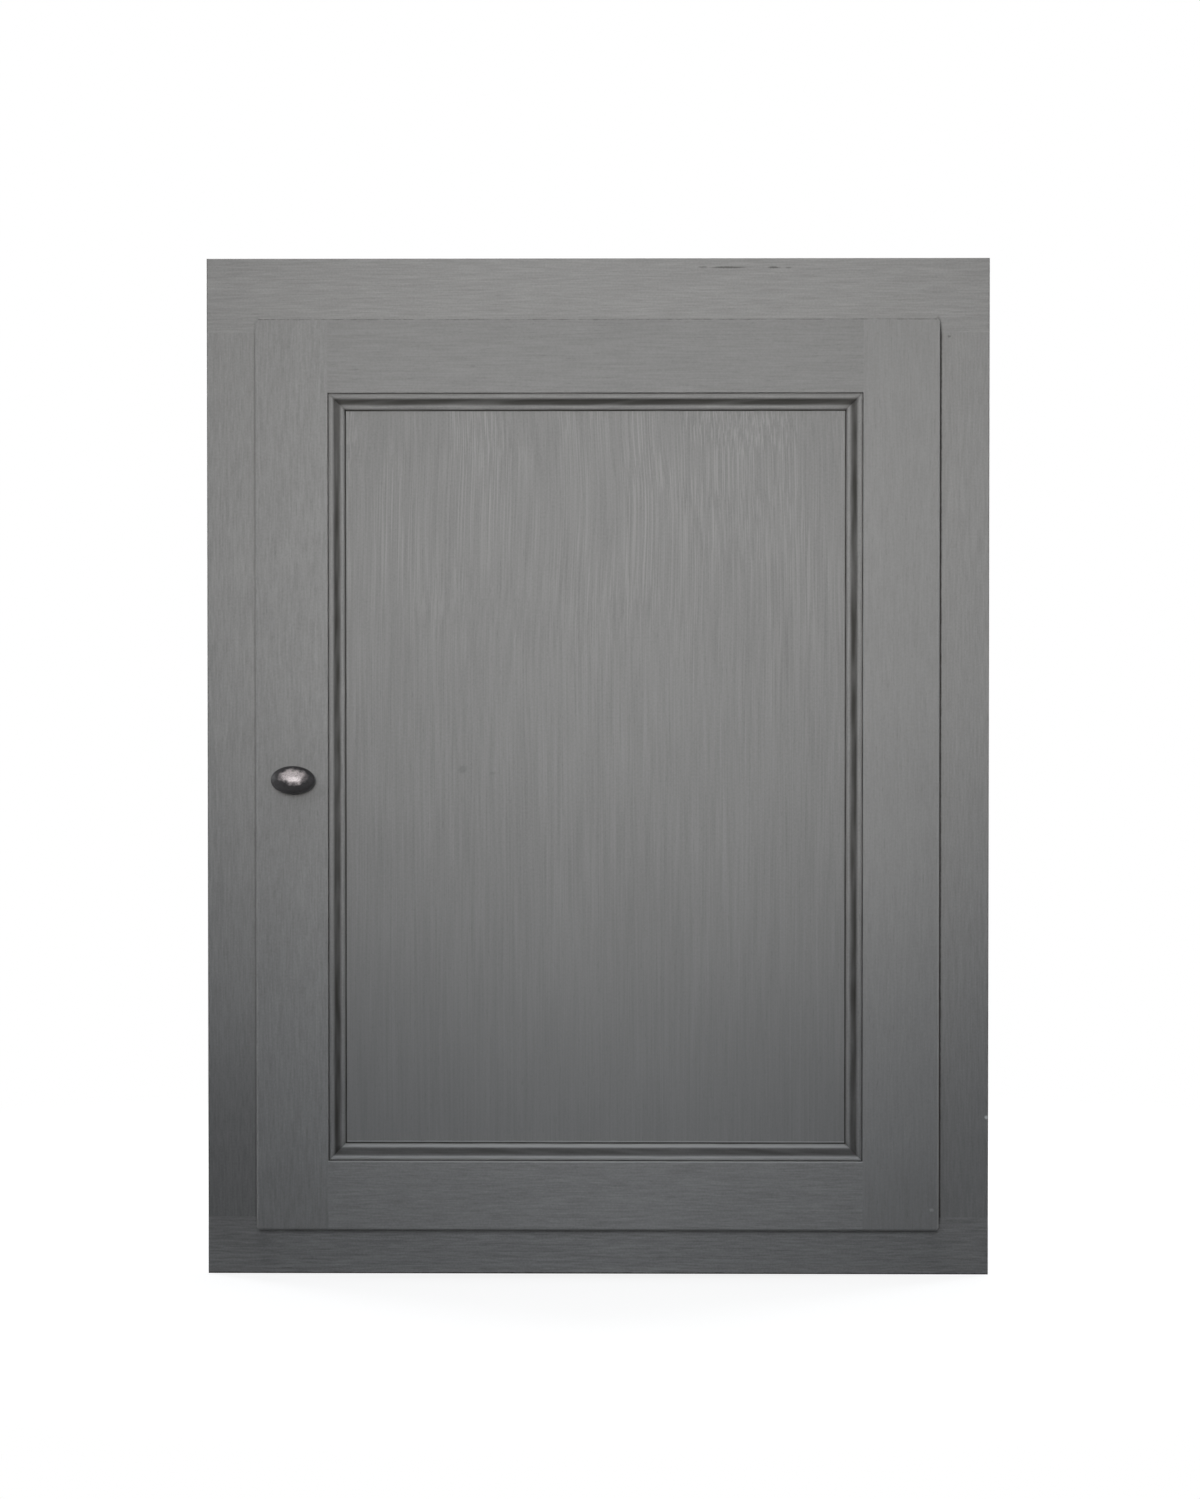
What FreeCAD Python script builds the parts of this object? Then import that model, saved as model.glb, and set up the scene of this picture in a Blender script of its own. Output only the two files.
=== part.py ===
"""Painted wall cupboard: a boarded carcass behind a face frame, closed by one lay-on panelled door.

Frame of reference, in millimetres: the origin is the middle of the lower back edge, on the wall.
+X runs to the right as seen from the front, +Y into the wall and +Z up, so the door faces -Y.
The door hangs on the right on two single-pivot cup hinges that no one sees from the front.
"""

import FreeCAD
import Part
import Sketcher

import math
import os

# Counts, which set how many pieces are made
BACK_BOARD_COUNT = 5
PEG_HOLES_EACH_WAY = 1

# Driving dimensions: alias, millimetres, what it is
DIMENSIONS = [
    ("width", 600, "cupboard, over the face frame"),
    ("height", 780, "cupboard, over the face frame"),
    ("depth", 300, "wall to the front of the face frame"),
    ("side_thick", 18, "side boards"),
    ("top_thick", 18, "top board"),
    ("floor_thick", 18, "floor board"),
    ("housing_depth", 8, "how deep the top and floor are let into the sides"),
    ("back_thick", 10, "matchboards of the back"),
    ("back_rebate", 9, "rebate in each side that takes the back"),
    ("tongue_length", 6, "tongue of a matchboard"),
    ("tongue_thick", 3.2, "tongue of a matchboard"),
    ("tongue_slack", 0.15, "room round a tongue in its groove"),
    ("vee_size", 2.5, "bevel where two matchboards meet"),
    ("hang_rail_thick", 18, "rails that the wall screws go through"),
    ("hang_rail_height", 60, "upper hanging rail"),
    ("fixing_radius", 2.75, "wall screw holes"),
    ("fixing_inset", 60, "wall screw holes from the cupboard's sides"),
    ("fixing_drop", 48, "upper wall screw holes from the cupboard's top"),
    ("fixing_rise", 13, "lower wall screw holes from the cupboard's bottom"),
    ("shelf_thick", 18, "shelves"),
    ("shelf_setback", 22, "shelf front from the back of the face frame"),
    ("shelf_end_gap", 1, "shelf end from the side board"),
    ("shelf_lower_height", 271, "underside of the lower shelf"),
    ("shelf_upper_height", 516, "underside of the upper shelf"),
    ("peg_radius", 2.5, "shelf pegs"),
    ("peg_reach", 8, "peg length under the shelf"),
    ("peg_hole_depth", 9, "peg holes in the sides"),
    ("peg_inset", 40, "peg axis from the shelf's front and back edges"),
    ("peg_pitch", 32, "peg holes one above the other"),
    ("frame_thick", 20, "face frame"),
    ("frame_ease", 1.2, "rounding of the face frame's outer front edges"),
    ("frame_stile_width", 56, "upright members of the face frame"),
    ("frame_top_width", 57, "top member of the face frame"),
    ("frame_bottom_width", 44, "bottom member of the face frame"),
    ("frame_tenon_length", 20, "stub tenons of the frame stiles"),
    ("frame_tenon_thick", 7, "stub tenons of the frame stiles"),
    ("frame_tenon_shoulder", 6, "stile edge to the tenon's edge"),
    ("tenon_end_gap", 0.5, "bottom of a mortise past the tenon's end"),
    ("reveal_side", 39.4, "face frame left showing beside the door"),
    ("reveal_top", 47.9, "face frame left showing above the door"),
    ("reveal_bottom", 36.6, "face frame left showing below the door"),
    ("door_gap", 3, "back of the door from the face frame"),
    ("door_thick", 20, "door stiles and rails"),
    ("door_ease", 2, "rounding of the door's outer edges"),
    ("door_corner", 3, "rounding of the door's corners, seen from the front"),
    ("lock_stile_width", 55, "door stile that carries the knob"),
    ("hinge_stile_width", 58.2, "door stile that carries the hinges"),
    ("door_top_width", 56.2, "top rail of the door"),
    ("door_bottom_width", 53, "bottom rail of the door"),
    ("door_tenon_length", 32, "tenons of the door rails"),
    ("door_tenon_haunch", 12, "rail's outer edge to the tenon's edge"),
    ("panel_thick", 8, "door panel"),
    ("panel_recess", 8.5, "door's front face to the panel's"),
    ("panel_groove", 10, "groove depth round the panel"),
    ("panel_play", 1.5, "panel edge from the bottom of its groove"),
    ("panel_slack", 0.1, "groove wall from the panel's face"),
    ("moulding_width", 13.4, "panel moulding, frame edge to inner edge"),
    ("moulding_back", 5, "moulding against the frame, above the panel"),
    ("crown_width", 5, "outer bead of the moulding"),
    ("crown_edge", 5.6, "where the outer bead meets the hollow, above the panel"),
    ("crown_rise", 1, "outer bead, above the line between its edges"),
    ("hollow_sink", 1.5, "hollow of the moulding, below the line between its edges"),
    ("bead_width", 3.6, "inner bead of the moulding"),
    ("bead_edge", 4.2, "where the inner bead meets the hollow, above the panel"),
    ("bead_foot", 1.4, "inner edge of the moulding, above the panel"),
    ("bead_rise", 1.1, "inner bead, above the line between its edges"),
    ("knob_width", 33.6, "oval head of the knob, across"),
    ("knob_tall", 21.4, "oval head of the knob, upright and front to back"),
    ("knob_end_radius", 5.8, "rounding of the oval's ends"),
    ("knob_projection", 26, "door face to the front of the knob"),
    ("knob_foot_radius", 7, "foot of the knob on the door"),
    ("knob_foot_edge", 1.4, "height of the foot's rim"),
    ("knob_neck_radius", 4.4, "neck of the knob"),
    ("knob_neck_height", 5.2, "where the foot's hollow meets the neck, from the door"),
    ("knob_hollow_radius", 5, "hollow of the foot"),
    ("knob_inset", 29.6, "knob from the door's edge"),
    ("knob_height", 381.3, "knob above the cupboard's bottom"),
    ("knob_screw_radius", 2, "screw of the knob"),
    ("knob_screw_grip", 9, "screw length inside the knob"),
    ("knob_hole_radius", 2.3, "hole in the door for the knob's screw"),
    ("pan_head_radius", 3.6, "heads of the small screws"),
    ("pan_head_height", 1.8, "heads of the small screws"),
    ("screw_radius", 1.75, "shanks of the small screws"),
    ("screw_length", 13, "shanks of the small screws, in the wood"),
    ("hinge_inset", 90, "hinge centre from the door's top or bottom"),
    ("cup_radius", 17.5, "hinge cup"),
    ("cup_depth", 11, "hinge cup, below the back of the door"),
    ("cup_wall", 1, "sheet of the hinge cup"),
    ("cup_bevel", 1.5, "bevel of the cup's bottom edge"),
    ("cup_edge", 3, "cup bore from the door's edge"),
    ("cup_lip", 0.5, "lip of the cup past its bore"),
    ("flange_thick", 0.8, "lip and ears of the cup"),
    ("ear_offset", 9.5, "cup screws from the cup's centre, away from the edge"),
    ("ear_reach", 22.5, "cup screws above and below the cup's centre"),
    ("ear_radius", 5.5, "round ends of the cup's ears"),
    ("pin_radius", 1.25, "hinge pin"),
    ("pin_end_gap", 0.5, "pin end from the outside of the cup's wall"),
    ("pin_edge", 7.6, "pin axis from the door's edge"),
    ("pin_depth", 6.5, "pin axis below the back of the door"),
    ("pin_clearance", 0.05, "pin in the eye of the arm, radial"),
    ("eye_wall", 1.1, "metal round the pin"),
    ("cheek_gap", 0.25, "cheeks in the cup from the eye of the arm"),
    ("cheek_cover", 1.6, "metal of the cheeks round the pin"),
    ("arm_thick", 1.8, "strip of the hinge arm"),
    ("arm_width", 10, "strip of the hinge arm, and its eye along the pin"),
    ("arm_drop", 0.5, "strip below the pin's axis"),
    ("arm_bend", 1, "inner radius of the arm's bend"),
    ("arm_tab", 18, "tab behind the face frame"),
    ("plate_height", 48, "mounting plate of the arm"),
    ("plate_inset", 3, "mounting plate from the faces of the frame"),
    ("plate_corner", 3, "corners of the mounting plate"),
    ("plate_screw_reach", 16, "plate screws above and below the hinge centre"),
    ("catch_height", 450, "catch above the cupboard's bottom"),
    ("catch_width", 14, "catch case, out from the frame's edge"),
    ("catch_depth", 16, "catch case, front to back"),
    ("catch_setback", 1, "catch case behind the front of the frame"),
    ("catch_tall", 28, "catch case"),
    ("catch_ear_thick", 2.5, "ears of the catch case"),
    ("catch_ear_reach", 19, "catch screws above and below its centre"),
    ("catch_ear_tall", 50, "catch case over its ears"),
    ("pole_thick", 1.5, "steel plates beside the magnet"),
    ("pole_tall", 20, "steel plates and magnet"),
    ("pole_depth", 10, "steel plates inside the case"),
    ("magnet_thick", 4, "magnet between the plates"),
    ("magnet_sink", 1.5, "magnet behind the ends of the plates"),
    ("catch_air", 0.3, "steel plates from the strike"),
    ("strike_thick", 1.2, "strike plate on the door"),
    ("strike_tall", 34, "strike plate on the door"),
    ("strike_width", 12, "strike plate on the door"),
    ("strike_screw_radius", 1.5, "screw of the strike plate"),
    ("strike_head_radius", 2.8, "screw of the strike plate"),
    ("bumper_radius", 5, "felt pads behind the door"),
    ("bumper_air", 0.2, "felt pads from the face frame"),
    ("bumper_inset", 30, "felt pads from the door's top and bottom"),
]

doc = FreeCAD.newDocument("wall_cupboard")
sheet = doc.addObject("Spreadsheet::Sheet", "dims")
for row, (alias, millimetres, meaning) in enumerate(DIMENSIONS, start=1):
    sheet.set(f"A{row}", meaning)
    sheet.set(f"B{row}", str(millimetres))
    sheet.setAlias(f"B{row}", alias)
doc.recompute()

# Places that several pieces share, as expressions on the sheet
HALF_WIDTH = "dims.width / 2"
SIDE_INNER = "(dims.width / 2 - dims.side_thick)"
FRAME_INNER = "(dims.width / 2 - dims.frame_stile_width)"
FRAME_FRONT = "(-dims.depth)"
FRAME_BACK = "(-dims.depth + dims.frame_thick)"
FRAME_TOP_EDGE = "(dims.height - dims.frame_top_width)"
BACK_INNER = "(-dims.back_thick)"
TOP_UNDERSIDE = "(dims.height - dims.top_thick)"
FLOOR_TOP = "dims.frame_bottom_width"
FLOOR_UNDERSIDE = "(dims.frame_bottom_width - dims.floor_thick)"
DOOR_LEFT = "(-dims.width / 2 + dims.reveal_side)"
DOOR_RIGHT = "(dims.width / 2 - dims.reveal_side)"
DOOR_BOTTOM = "dims.reveal_bottom"
DOOR_TOP = "(dims.height - dims.reveal_top)"
DOOR_BACK = "(-dims.depth - dims.door_gap)"
DOOR_FRONT = "(-dims.depth - dims.door_gap - dims.door_thick)"
PANEL_FRONT = f"({DOOR_FRONT} + dims.panel_recess)"
PANEL_BACK = f"({PANEL_FRONT} + dims.panel_thick)"
OPENING_LEFT = f"({DOOR_LEFT} + dims.lock_stile_width)"
OPENING_RIGHT = f"({DOOR_RIGHT} - dims.hinge_stile_width)"
OPENING_BOTTOM = f"({DOOR_BOTTOM} + dims.door_bottom_width)"
OPENING_TOP = f"({DOOR_TOP} - dims.door_top_width)"
KNOB_X = f"({DOOR_LEFT} + dims.knob_inset)"
CUP_X = f"({DOOR_RIGHT} - dims.cup_edge - dims.cup_radius)"
PIN_X = f"({DOOR_RIGHT} - dims.pin_edge)"
PIN_Y = f"({DOOR_BACK} - dims.pin_depth)"
HINGES = {
    "upper": f"({DOOR_TOP} - dims.hinge_inset)",
    "lower": f"({DOOR_BOTTOM} + dims.hinge_inset)",
}
CATCH_X = f"(-{FRAME_INNER} + dims.catch_width / 2)"
CATCH_FRONT = f"({FRAME_FRONT} + dims.catch_setback)"
SHELVES = {"lower": "dims.shelf_lower_height", "upper": "dims.shelf_upper_height"}
SHELF_FRONT = f"({FRAME_BACK} + dims.shelf_setback)"
PEG_ROWS = (f"({SHELF_FRONT} + dims.peg_inset)", f"({BACK_INNER} - dims.peg_inset)")
FIXING_X = f"({HALF_WIDTH} - dims.fixing_inset)"
FIXING_HEIGHTS = ("dims.height - dims.fixing_drop", "dims.fixing_rise")

RIGHT = FreeCAD.Vector(1, 0, 0)
BACKWARD = FreeCAD.Vector(0, 1, 0)
UP = FreeCAD.Vector(0, 0, 1)

# Turns that lay a rod, made along Z, along another axis
AXIS_TURN = {
    "x": FreeCAD.Rotation(BACKWARD, 90),
    "y": FreeCAD.Rotation(RIGHT, -90),
    "z": FreeCAD.Rotation(),
}

# Turns that lay a frame member on one side: X inwards from its outer edge, Y backwards, Z along it
MEMBER_TURN = {
    "left": FreeCAD.Rotation(RIGHT, BACKWARD, UP),
    "right": FreeCAD.Rotation(-RIGHT, BACKWARD, -UP),
    "top": FreeCAD.Rotation(-UP, BACKWARD, RIGHT),
    "bottom": FreeCAD.Rotation(UP, BACKWARD, -RIGHT),
}

CLOSE = 1e-6

pieces = []


def value(expression):
    """Number that an expression on the sheet stands for."""
    return float(sheet.evalExpression(expression))


def place(thing, x, y, z, turn=None):
    """Ties where a thing lies to the sheet, and turns it once."""
    if turn is not None:
        thing.Placement = FreeCAD.Placement(FreeCAD.Vector(), turn)
    for axis, expression in zip("xyz", (x, y, z)):
        thing.setExpression(f"Placement.Base.{axis}", expression)
    return thing


def box(name, x, y, z):
    """Block between two expressions along each axis."""
    block = doc.addObject("Part::Box", name)
    for size, (low, high) in zip(("Length", "Width", "Height"), (x, y, z)):
        block.setExpression(size, f"({high}) - ({low})")
    return place(block, x[0], y[0], z[0])


def rod(name, axis, start, radius, length):
    """Cylinder that runs from a point along +X, +Y or +Z."""
    cylinder = doc.addObject("Part::Cylinder", name)
    cylinder.setExpression("Radius", radius)
    cylinder.setExpression("Height", length)
    return place(cylinder, *start, AXIS_TURN[axis])


def fuse(name, things):
    """One solid from several that meet."""
    joined = doc.addObject("Part::MultiFuse", name)
    joined.Shapes = things
    joined.Refine = True
    return joined


def cut(name, base, tools):
    """A solid with one or more others taken out of it."""
    taken = doc.addObject("Part::Cut", name)
    taken.Base = base
    taken.Tool = tools[0] if len(tools) == 1 else fuse(f"{name}_tools", tools)
    return taken


def group(name, things):
    """Separate solids that share a node."""
    bundle = doc.addObject("Part::Compound", name)
    bundle.Links = things
    return bundle


def keep(thing, label):
    """Names a finished piece."""
    thing.Label = label
    pieces.append(thing)
    return thing


def mirrored(name, source):
    """The same piece on the other side of the cupboard's middle plane."""
    twin = doc.addObject("Part::Mirroring", name)
    twin.Source = source
    twin.Base = FreeCAD.Vector()
    twin.Normal = RIGHT
    return twin


def beside(sign, near, far):
    """Span between two distances from the middle plane, on the left (-1) or the right (1)."""
    return (near, far) if sign > 0 else (f"-({far})", f"-({near})")


def about(middle, size):
    """Span of a size about its middle."""
    return (f"{middle} - ({size}) / 2", f"{middle} + ({size}) / 2")


def origin_plane(body, role):
    """One of a body's own origin planes."""
    return next(plane for plane in body.Origin.OriginFeatures if plane.Role == role)


def arc_between(start, end, radius, turn):
    """Arc from one point to the next that turns left (1) or right (-1), always drawn anticlockwise."""
    chord = end - start
    half = chord.Length / 2
    rise = math.sqrt(max(radius * radius - half * half, 0))
    left = FreeCAD.Vector(-chord.y, chord.x, 0) / chord.Length
    middle = start + chord / 2 + left * turn * (rise - radius)
    if turn > 0:
        return Part.Arc(start, middle, end)
    return Part.Arc(end, middle, start)


def outline(body, name, role, corners, offset=None):
    """Sketch of a closed outline. A corner is (x, y) before a straight side, or (x, y, radius, turn)
    before an arc that turns left (1) or right (-1). Every corner and radius is tied to the sheet."""
    sketch = body.newObject("Sketcher::SketchObject", name)
    sketch.AttachmentSupport = (origin_plane(body, role), [""])
    sketch.MapMode = "FlatFace"
    if offset is not None:
        sketch.setExpression("AttachmentOffset.Base.z", offset)
    points = [FreeCAD.Vector(value(c[0]), value(c[1]), 0) for c in corners]
    ends = []
    for index, corner in enumerate(corners):
        start, end = points[index], points[(index + 1) % len(points)]
        if len(corner) == 2:
            sketch.addGeometry(Part.LineSegment(start, end), False)
            ends.append((1, 2))
        else:
            radius, turn = corner[2:]
            sketch.addGeometry(arc_between(start, end, value(radius), turn), False)
            ends.append((1, 2) if turn > 0 else (2, 1))
    for index, corner in enumerate(corners):
        following = (index + 1) % len(corners)
        sketch.addConstraint(
            Sketcher.Constraint("Coincident", index, ends[index][1], following, ends[following][0])
        )
        for kind, expression in (("DistanceX", corner[0]), ("DistanceY", corner[1])):
            number = sketch.addConstraint(
                Sketcher.Constraint(kind, index, ends[index][0], value(expression))
            )
            sketch.setExpression(f"Constraints[{number}]", expression)
        if len(corner) > 2:
            number = sketch.addConstraint(Sketcher.Constraint("Radius", index, value(corner[2])))
            sketch.setExpression(f"Constraints[{number}]", corner[2])
    return sketch


def rectangle(x, y):
    """Corners of a rectangle between two expressions each way."""
    return [(x[0], y[0]), (x[1], y[0]), (x[1], y[1]), (x[0], y[1])]


def pad(body, sketch, length, symmetric=False):
    """Raises a sketch into a solid."""
    feature = body.newObject("PartDesign::Pad", f"{sketch.Name}_pad")
    feature.Profile = sketch
    feature.setExpression("Length", length)
    if symmetric:
        feature.SideType = "Symmetric"
    return feature


def revolve(body, sketch, axis):
    """Turns a sketch about one of its own axes."""
    feature = body.newObject("PartDesign::Revolution", f"{sketch.Name}_turned")
    feature.Profile = sketch
    feature.ReferenceAxis = (sketch, [axis])
    feature.Angle = 360
    return feature


def ease(body, base, radius, chosen):
    """Rounds the edges of a feature whose middle point passes a test."""
    doc.recompute()
    names = [
        f"Edge{number}"
        for number, edge in enumerate(base.Shape.Edges, start=1)
        if chosen(edge.CenterOfMass)
    ]
    fillet = body.newObject("PartDesign::Fillet", f"{base.Name}_eased")
    fillet.Base = (base, names)
    fillet.setExpression("Radius", radius)
    return fillet


def eased_member(name, side, start, size, radius, ends_too=False, back_too=False, corner=None):
    """Frame or door member on one side of an opening, with its outer front edges rounded. Its end edges
    and back edges are rounded too where asked, and so are its two outer corners."""
    width, thick, length = size
    body = doc.addObject("PartDesign::Body", name)
    section = outline(body, f"{name}_section", "XY_Plane", rectangle(("0", width), ("0", thick)))
    member = pad(body, section, length)
    inner, back = value(width), value(thick)
    faces = (0, back) if back_too else (0,)

    def at_corner(middle):
        return middle.x < CLOSE and abs(middle.y - back / 2) < CLOSE

    def at_rim(middle):
        on_face = min(abs(middle.y - face) for face in faces) < CLOSE
        return on_face and middle.x < (inner - CLOSE if ends_too else CLOSE)

    if corner is not None:
        member = ease(body, member, corner, at_corner)
    ease(body, member, radius, at_rim)
    return place(body, *start, MEMBER_TURN[side])


def pan_screw(name, axis, seat, into):
    """Small round-headed screw: its seat is where the head rests; into is 1 or -1 along the axis."""
    along = "xyz".index(axis)

    def shifted(distance):
        moved = list(seat)
        moved[along] = f"{seat[along]} + ({distance})"
        return moved

    shank_start = "0" if into > 0 else "-dims.screw_length"
    head_start = "-dims.pan_head_height" if into > 0 else "0"
    shank = rod(f"{name}_shank", axis, shifted(shank_start), "dims.screw_radius", "dims.screw_length")
    head = rod(f"{name}_head", axis, shifted(head_start), "dims.pan_head_radius", "dims.pan_head_height")
    return fuse(name, [shank, head])


def screw_hole(name, axis, seat, into):
    """Hole that the shank of a small screw fills."""
    start = list(seat)
    if into < 0:
        along = "xyz".index(axis)
        start[along] = f"{seat[along]} - dims.screw_length"
    return rod(name, axis, start, "dims.screw_radius", "dims.screw_length")


# Carcass: two sides, a top and a floor let into them
def make_sides():
    inner = beside(-1, SIDE_INNER, f"{SIDE_INNER} + dims.housing_depth")
    run = (FRAME_BACK, BACK_INNER)
    board = box(
        "side_board", beside(-1, SIDE_INNER, HALF_WIDTH), (FRAME_BACK, "0"), ("0", "dims.height")
    )
    tools = [
        box(
            "back_rebate",
            beside(-1, SIDE_INNER, f"{SIDE_INNER} + dims.back_rebate"),
            (BACK_INNER, "0"),
            ("0", "dims.height"),
        ),
        box("top_rebate", inner, run, (TOP_UNDERSIDE, "dims.height")),
        box("floor_housing", inner, run, (FLOOR_UNDERSIDE, FLOOR_TOP)),
    ]
    for shelf, underside in SHELVES.items():
        for row_number, row_y in enumerate(PEG_ROWS):
            for step in range(-PEG_HOLES_EACH_WAY, PEG_HOLES_EACH_WAY + 1):
                height = f"{underside} - dims.peg_radius + {step} * dims.peg_pitch"
                start = (f"-{SIDE_INNER} - dims.peg_hole_depth", row_y, height)
                name = f"peg_hole_{shelf}_{row_number}_{step + PEG_HOLES_EACH_WAY}"
                tools.append(rod(name, "x", start, "dims.peg_radius", "dims.peg_hole_depth"))
    left = keep(cut("left_side_board", board, tools), "side_left")
    keep(mirrored("right_side_board", left), "side_right")


def make_top_and_floor():
    across = beside(-1, f"-({SIDE_INNER} + dims.housing_depth)", f"{SIDE_INNER} + dims.housing_depth")
    run = (FRAME_BACK, BACK_INNER)
    keep(box("top", across, run, (TOP_UNDERSIDE, "dims.height")), "top_board")
    keep(box("floor", across, run, (FLOOR_UNDERSIDE, FLOOR_TOP)), "floor_board")


def make_shelves():
    across = about("0", f"2 * ({SIDE_INNER} - dims.shelf_end_gap)")
    pegs = []
    for shelf, underside in SHELVES.items():
        upright = (underside, f"{underside} + dims.shelf_thick")
        keep(box(f"{shelf}_shelf", across, (SHELF_FRONT, BACK_INNER), upright), f"shelf_{shelf}")
        for sign in (-1, 1):
            for row_number, row_y in enumerate(PEG_ROWS):
                span = beside(sign, f"{SIDE_INNER} - dims.peg_reach", f"{SIDE_INNER} + dims.peg_hole_depth")
                start = (span[0], row_y, f"{underside} - dims.peg_radius")
                name = f"peg_{shelf}_{'left' if sign < 0 else 'right'}_{row_number}"
                length = "dims.peg_reach + dims.peg_hole_depth"
                pegs.append(rod(name, "x", start, "dims.peg_radius", length))
    keep(group("pegs", pegs), "shelf_pegs")


def fixing_holes(name, sign, heights):
    """Wall screw holes through a hanging rail and the back, on one side."""
    start_y = f"{BACK_INNER} - dims.hang_rail_thick"
    length = "dims.hang_rail_thick + dims.back_thick"
    x = f"{sign} * {FIXING_X}"
    return [
        rod(f"{name}_{number}", "y", (x, start_y, height), "dims.fixing_radius", length)
        for number, height in enumerate(heights)
    ]


def make_hanging_rails():
    across = beside(-1, f"-{SIDE_INNER}", SIDE_INNER)
    run = (f"{BACK_INNER} - dims.hang_rail_thick", BACK_INNER)
    spans = {
        "upper": (f"{TOP_UNDERSIDE} - dims.hang_rail_height", TOP_UNDERSIDE),
        "lower": ("0", FLOOR_UNDERSIDE),
    }
    for (rail, upright), height in zip(spans.items(), FIXING_HEIGHTS):
        blank = box(f"{rail}_hanging_blank", across, run, upright)
        holes = []
        for sign in (-1, 1):
            holes += fixing_holes(f"{rail}_rail_hole_{sign + 1}", sign, (height,))
        keep(cut(f"{rail}_hanging", blank, holes), f"hanging_rail_{rail}")


# Back: matchboards with tongue, groove and a V where two meet
def make_back():
    total = "(dims.width - 2 * (dims.side_thick - dims.back_rebate))"
    cover = f"({total} / {BACK_BOARD_COUNT})"
    tongue_rear = "(-(dims.back_thick - dims.tongue_thick) / 2)"
    tongue_front = "(-(dims.back_thick + dims.tongue_thick) / 2)"
    for number in range(BACK_BOARD_COUNT):
        left = f"(-{total} / 2 + {number} * {cover})"
        right = f"({left} + {cover})"
        first = number == 0
        last = number == BACK_BOARD_COUNT - 1
        corners = [(left, "0"), (left, BACK_INNER)]
        if not first:
            groove_end = f"{left} + dims.tongue_length + 2 * dims.tongue_slack"
            corners = [
                (left, "0"),
                (left, f"{tongue_rear} + dims.tongue_slack"),
                (groove_end, f"{tongue_rear} + dims.tongue_slack"),
                (groove_end, f"{tongue_front} - dims.tongue_slack"),
                (left, f"{tongue_front} - dims.tongue_slack"),
                (left, f"{BACK_INNER} + dims.vee_size"),
                (f"{left} + dims.vee_size", BACK_INNER),
            ]
        if last:
            corners += [(right, BACK_INNER), (right, "0")]
        else:
            tongue_end = f"{right} + dims.tongue_length"
            corners += [
                (f"{right} - dims.vee_size", BACK_INNER),
                (right, f"{BACK_INNER} + dims.vee_size"),
                (right, tongue_front),
                (tongue_end, tongue_front),
                (tongue_end, tongue_rear),
                (right, tongue_rear),
                (right, "0"),
            ]
        body = doc.addObject("PartDesign::Body", f"matchboard_{number + 1}")
        pad(body, outline(body, f"matchboard_{number + 1}_section", "XY_Plane", corners), "dims.height")
        board = body
        if first or last:
            holes = fixing_holes(f"board_hole_{number}", -1 if first else 1, FIXING_HEIGHTS)
            board = cut(f"drilled_board_{number + 1}", body, holes)
        keep(board, f"back_board_{number + 1}")


# Face frame: rails right across, stiles between them on stub tenons
def make_face_frame():
    tenon_thick = about(f"({FRAME_FRONT} + dims.frame_thick / 2)", "dims.frame_tenon_thick")
    lower_end, upper_end = FLOOR_TOP, FRAME_TOP_EDGE
    mortises = {"top": [], "bottom": []}
    stile_size = ("dims.frame_stile_width", "dims.frame_thick", f"{upper_end} - {lower_end}")
    stile_ends = {"left": lower_end, "right": upper_end}
    for sign, side in ((-1, "left"), (1, "right")):
        across = beside(
            sign,
            f"{FRAME_INNER} + dims.frame_tenon_shoulder",
            f"{HALF_WIDTH} - dims.frame_tenon_shoulder",
        )
        start = (f"{sign} * {HALF_WIDTH}", FRAME_FRONT, stile_ends[side])
        blank = eased_member(f"{side}_stile_blank", side, start, stile_size, "dims.frame_ease")
        upper = (upper_end, f"{upper_end} + dims.frame_tenon_length")
        lower = (f"{lower_end} - dims.frame_tenon_length", lower_end)
        tenons = [
            box(f"{side}_stile_tenon_top", across, tenon_thick, upper),
            box(f"{side}_stile_tenon_bottom", across, tenon_thick, lower),
        ]
        upper = (upper[0], f"{upper[1]} + dims.tenon_end_gap")
        lower = (f"{lower[0]} - dims.tenon_end_gap", lower[1])
        mortises["top"].append(box(f"{side}_mortise_top", across, tenon_thick, upper))
        mortises["bottom"].append(box(f"{side}_mortise_bottom", across, tenon_thick, lower))
        stile = fuse(f"{side}_stile_tenoned", [blank, *tenons])
        holes = catch_screw_places() if sign < 0 else plate_screw_places()
        drilled = [
            screw_hole(f"{side}_stile_hole_{number}", "x", seat, sign) for number, seat in enumerate(holes)
        ]
        keep(cut(f"{side}_frame_stile", stile, drilled), f"frame_stile_{side}")
    rails = {
        "top": ("dims.frame_top_width", f"-{HALF_WIDTH}", "dims.height"),
        "bottom": ("dims.frame_bottom_width", HALF_WIDTH, "0"),
    }
    for rail, (width, x, z) in rails.items():
        size = (width, "dims.frame_thick", "dims.width")
        start = (x, FRAME_FRONT, z)
        blank = eased_member(f"{rail}_frame_blank", rail, start, size, "dims.frame_ease", ends_too=True)
        keep(cut(f"{rail}_frame_rail", blank, mortises[rail]), f"frame_rail_{rail}")


# Door: eased stiles and rails, tenoned together round a loose panel
def groove_span():
    """Across the door's thickness, the groove that holds the panel and takes the tenons."""
    return (f"{PANEL_FRONT} - dims.panel_slack", f"{PANEL_BACK} + dims.panel_slack")


def tenon_heights(rail):
    """From bottom to top, the tenon of a door rail."""
    if rail == "top":
        return (f"{OPENING_TOP} + dims.panel_groove", f"{DOOR_TOP} - dims.door_tenon_haunch")
    return (f"{DOOR_BOTTOM} + dims.door_tenon_haunch", f"{OPENING_BOTTOM} - dims.panel_groove")


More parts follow.
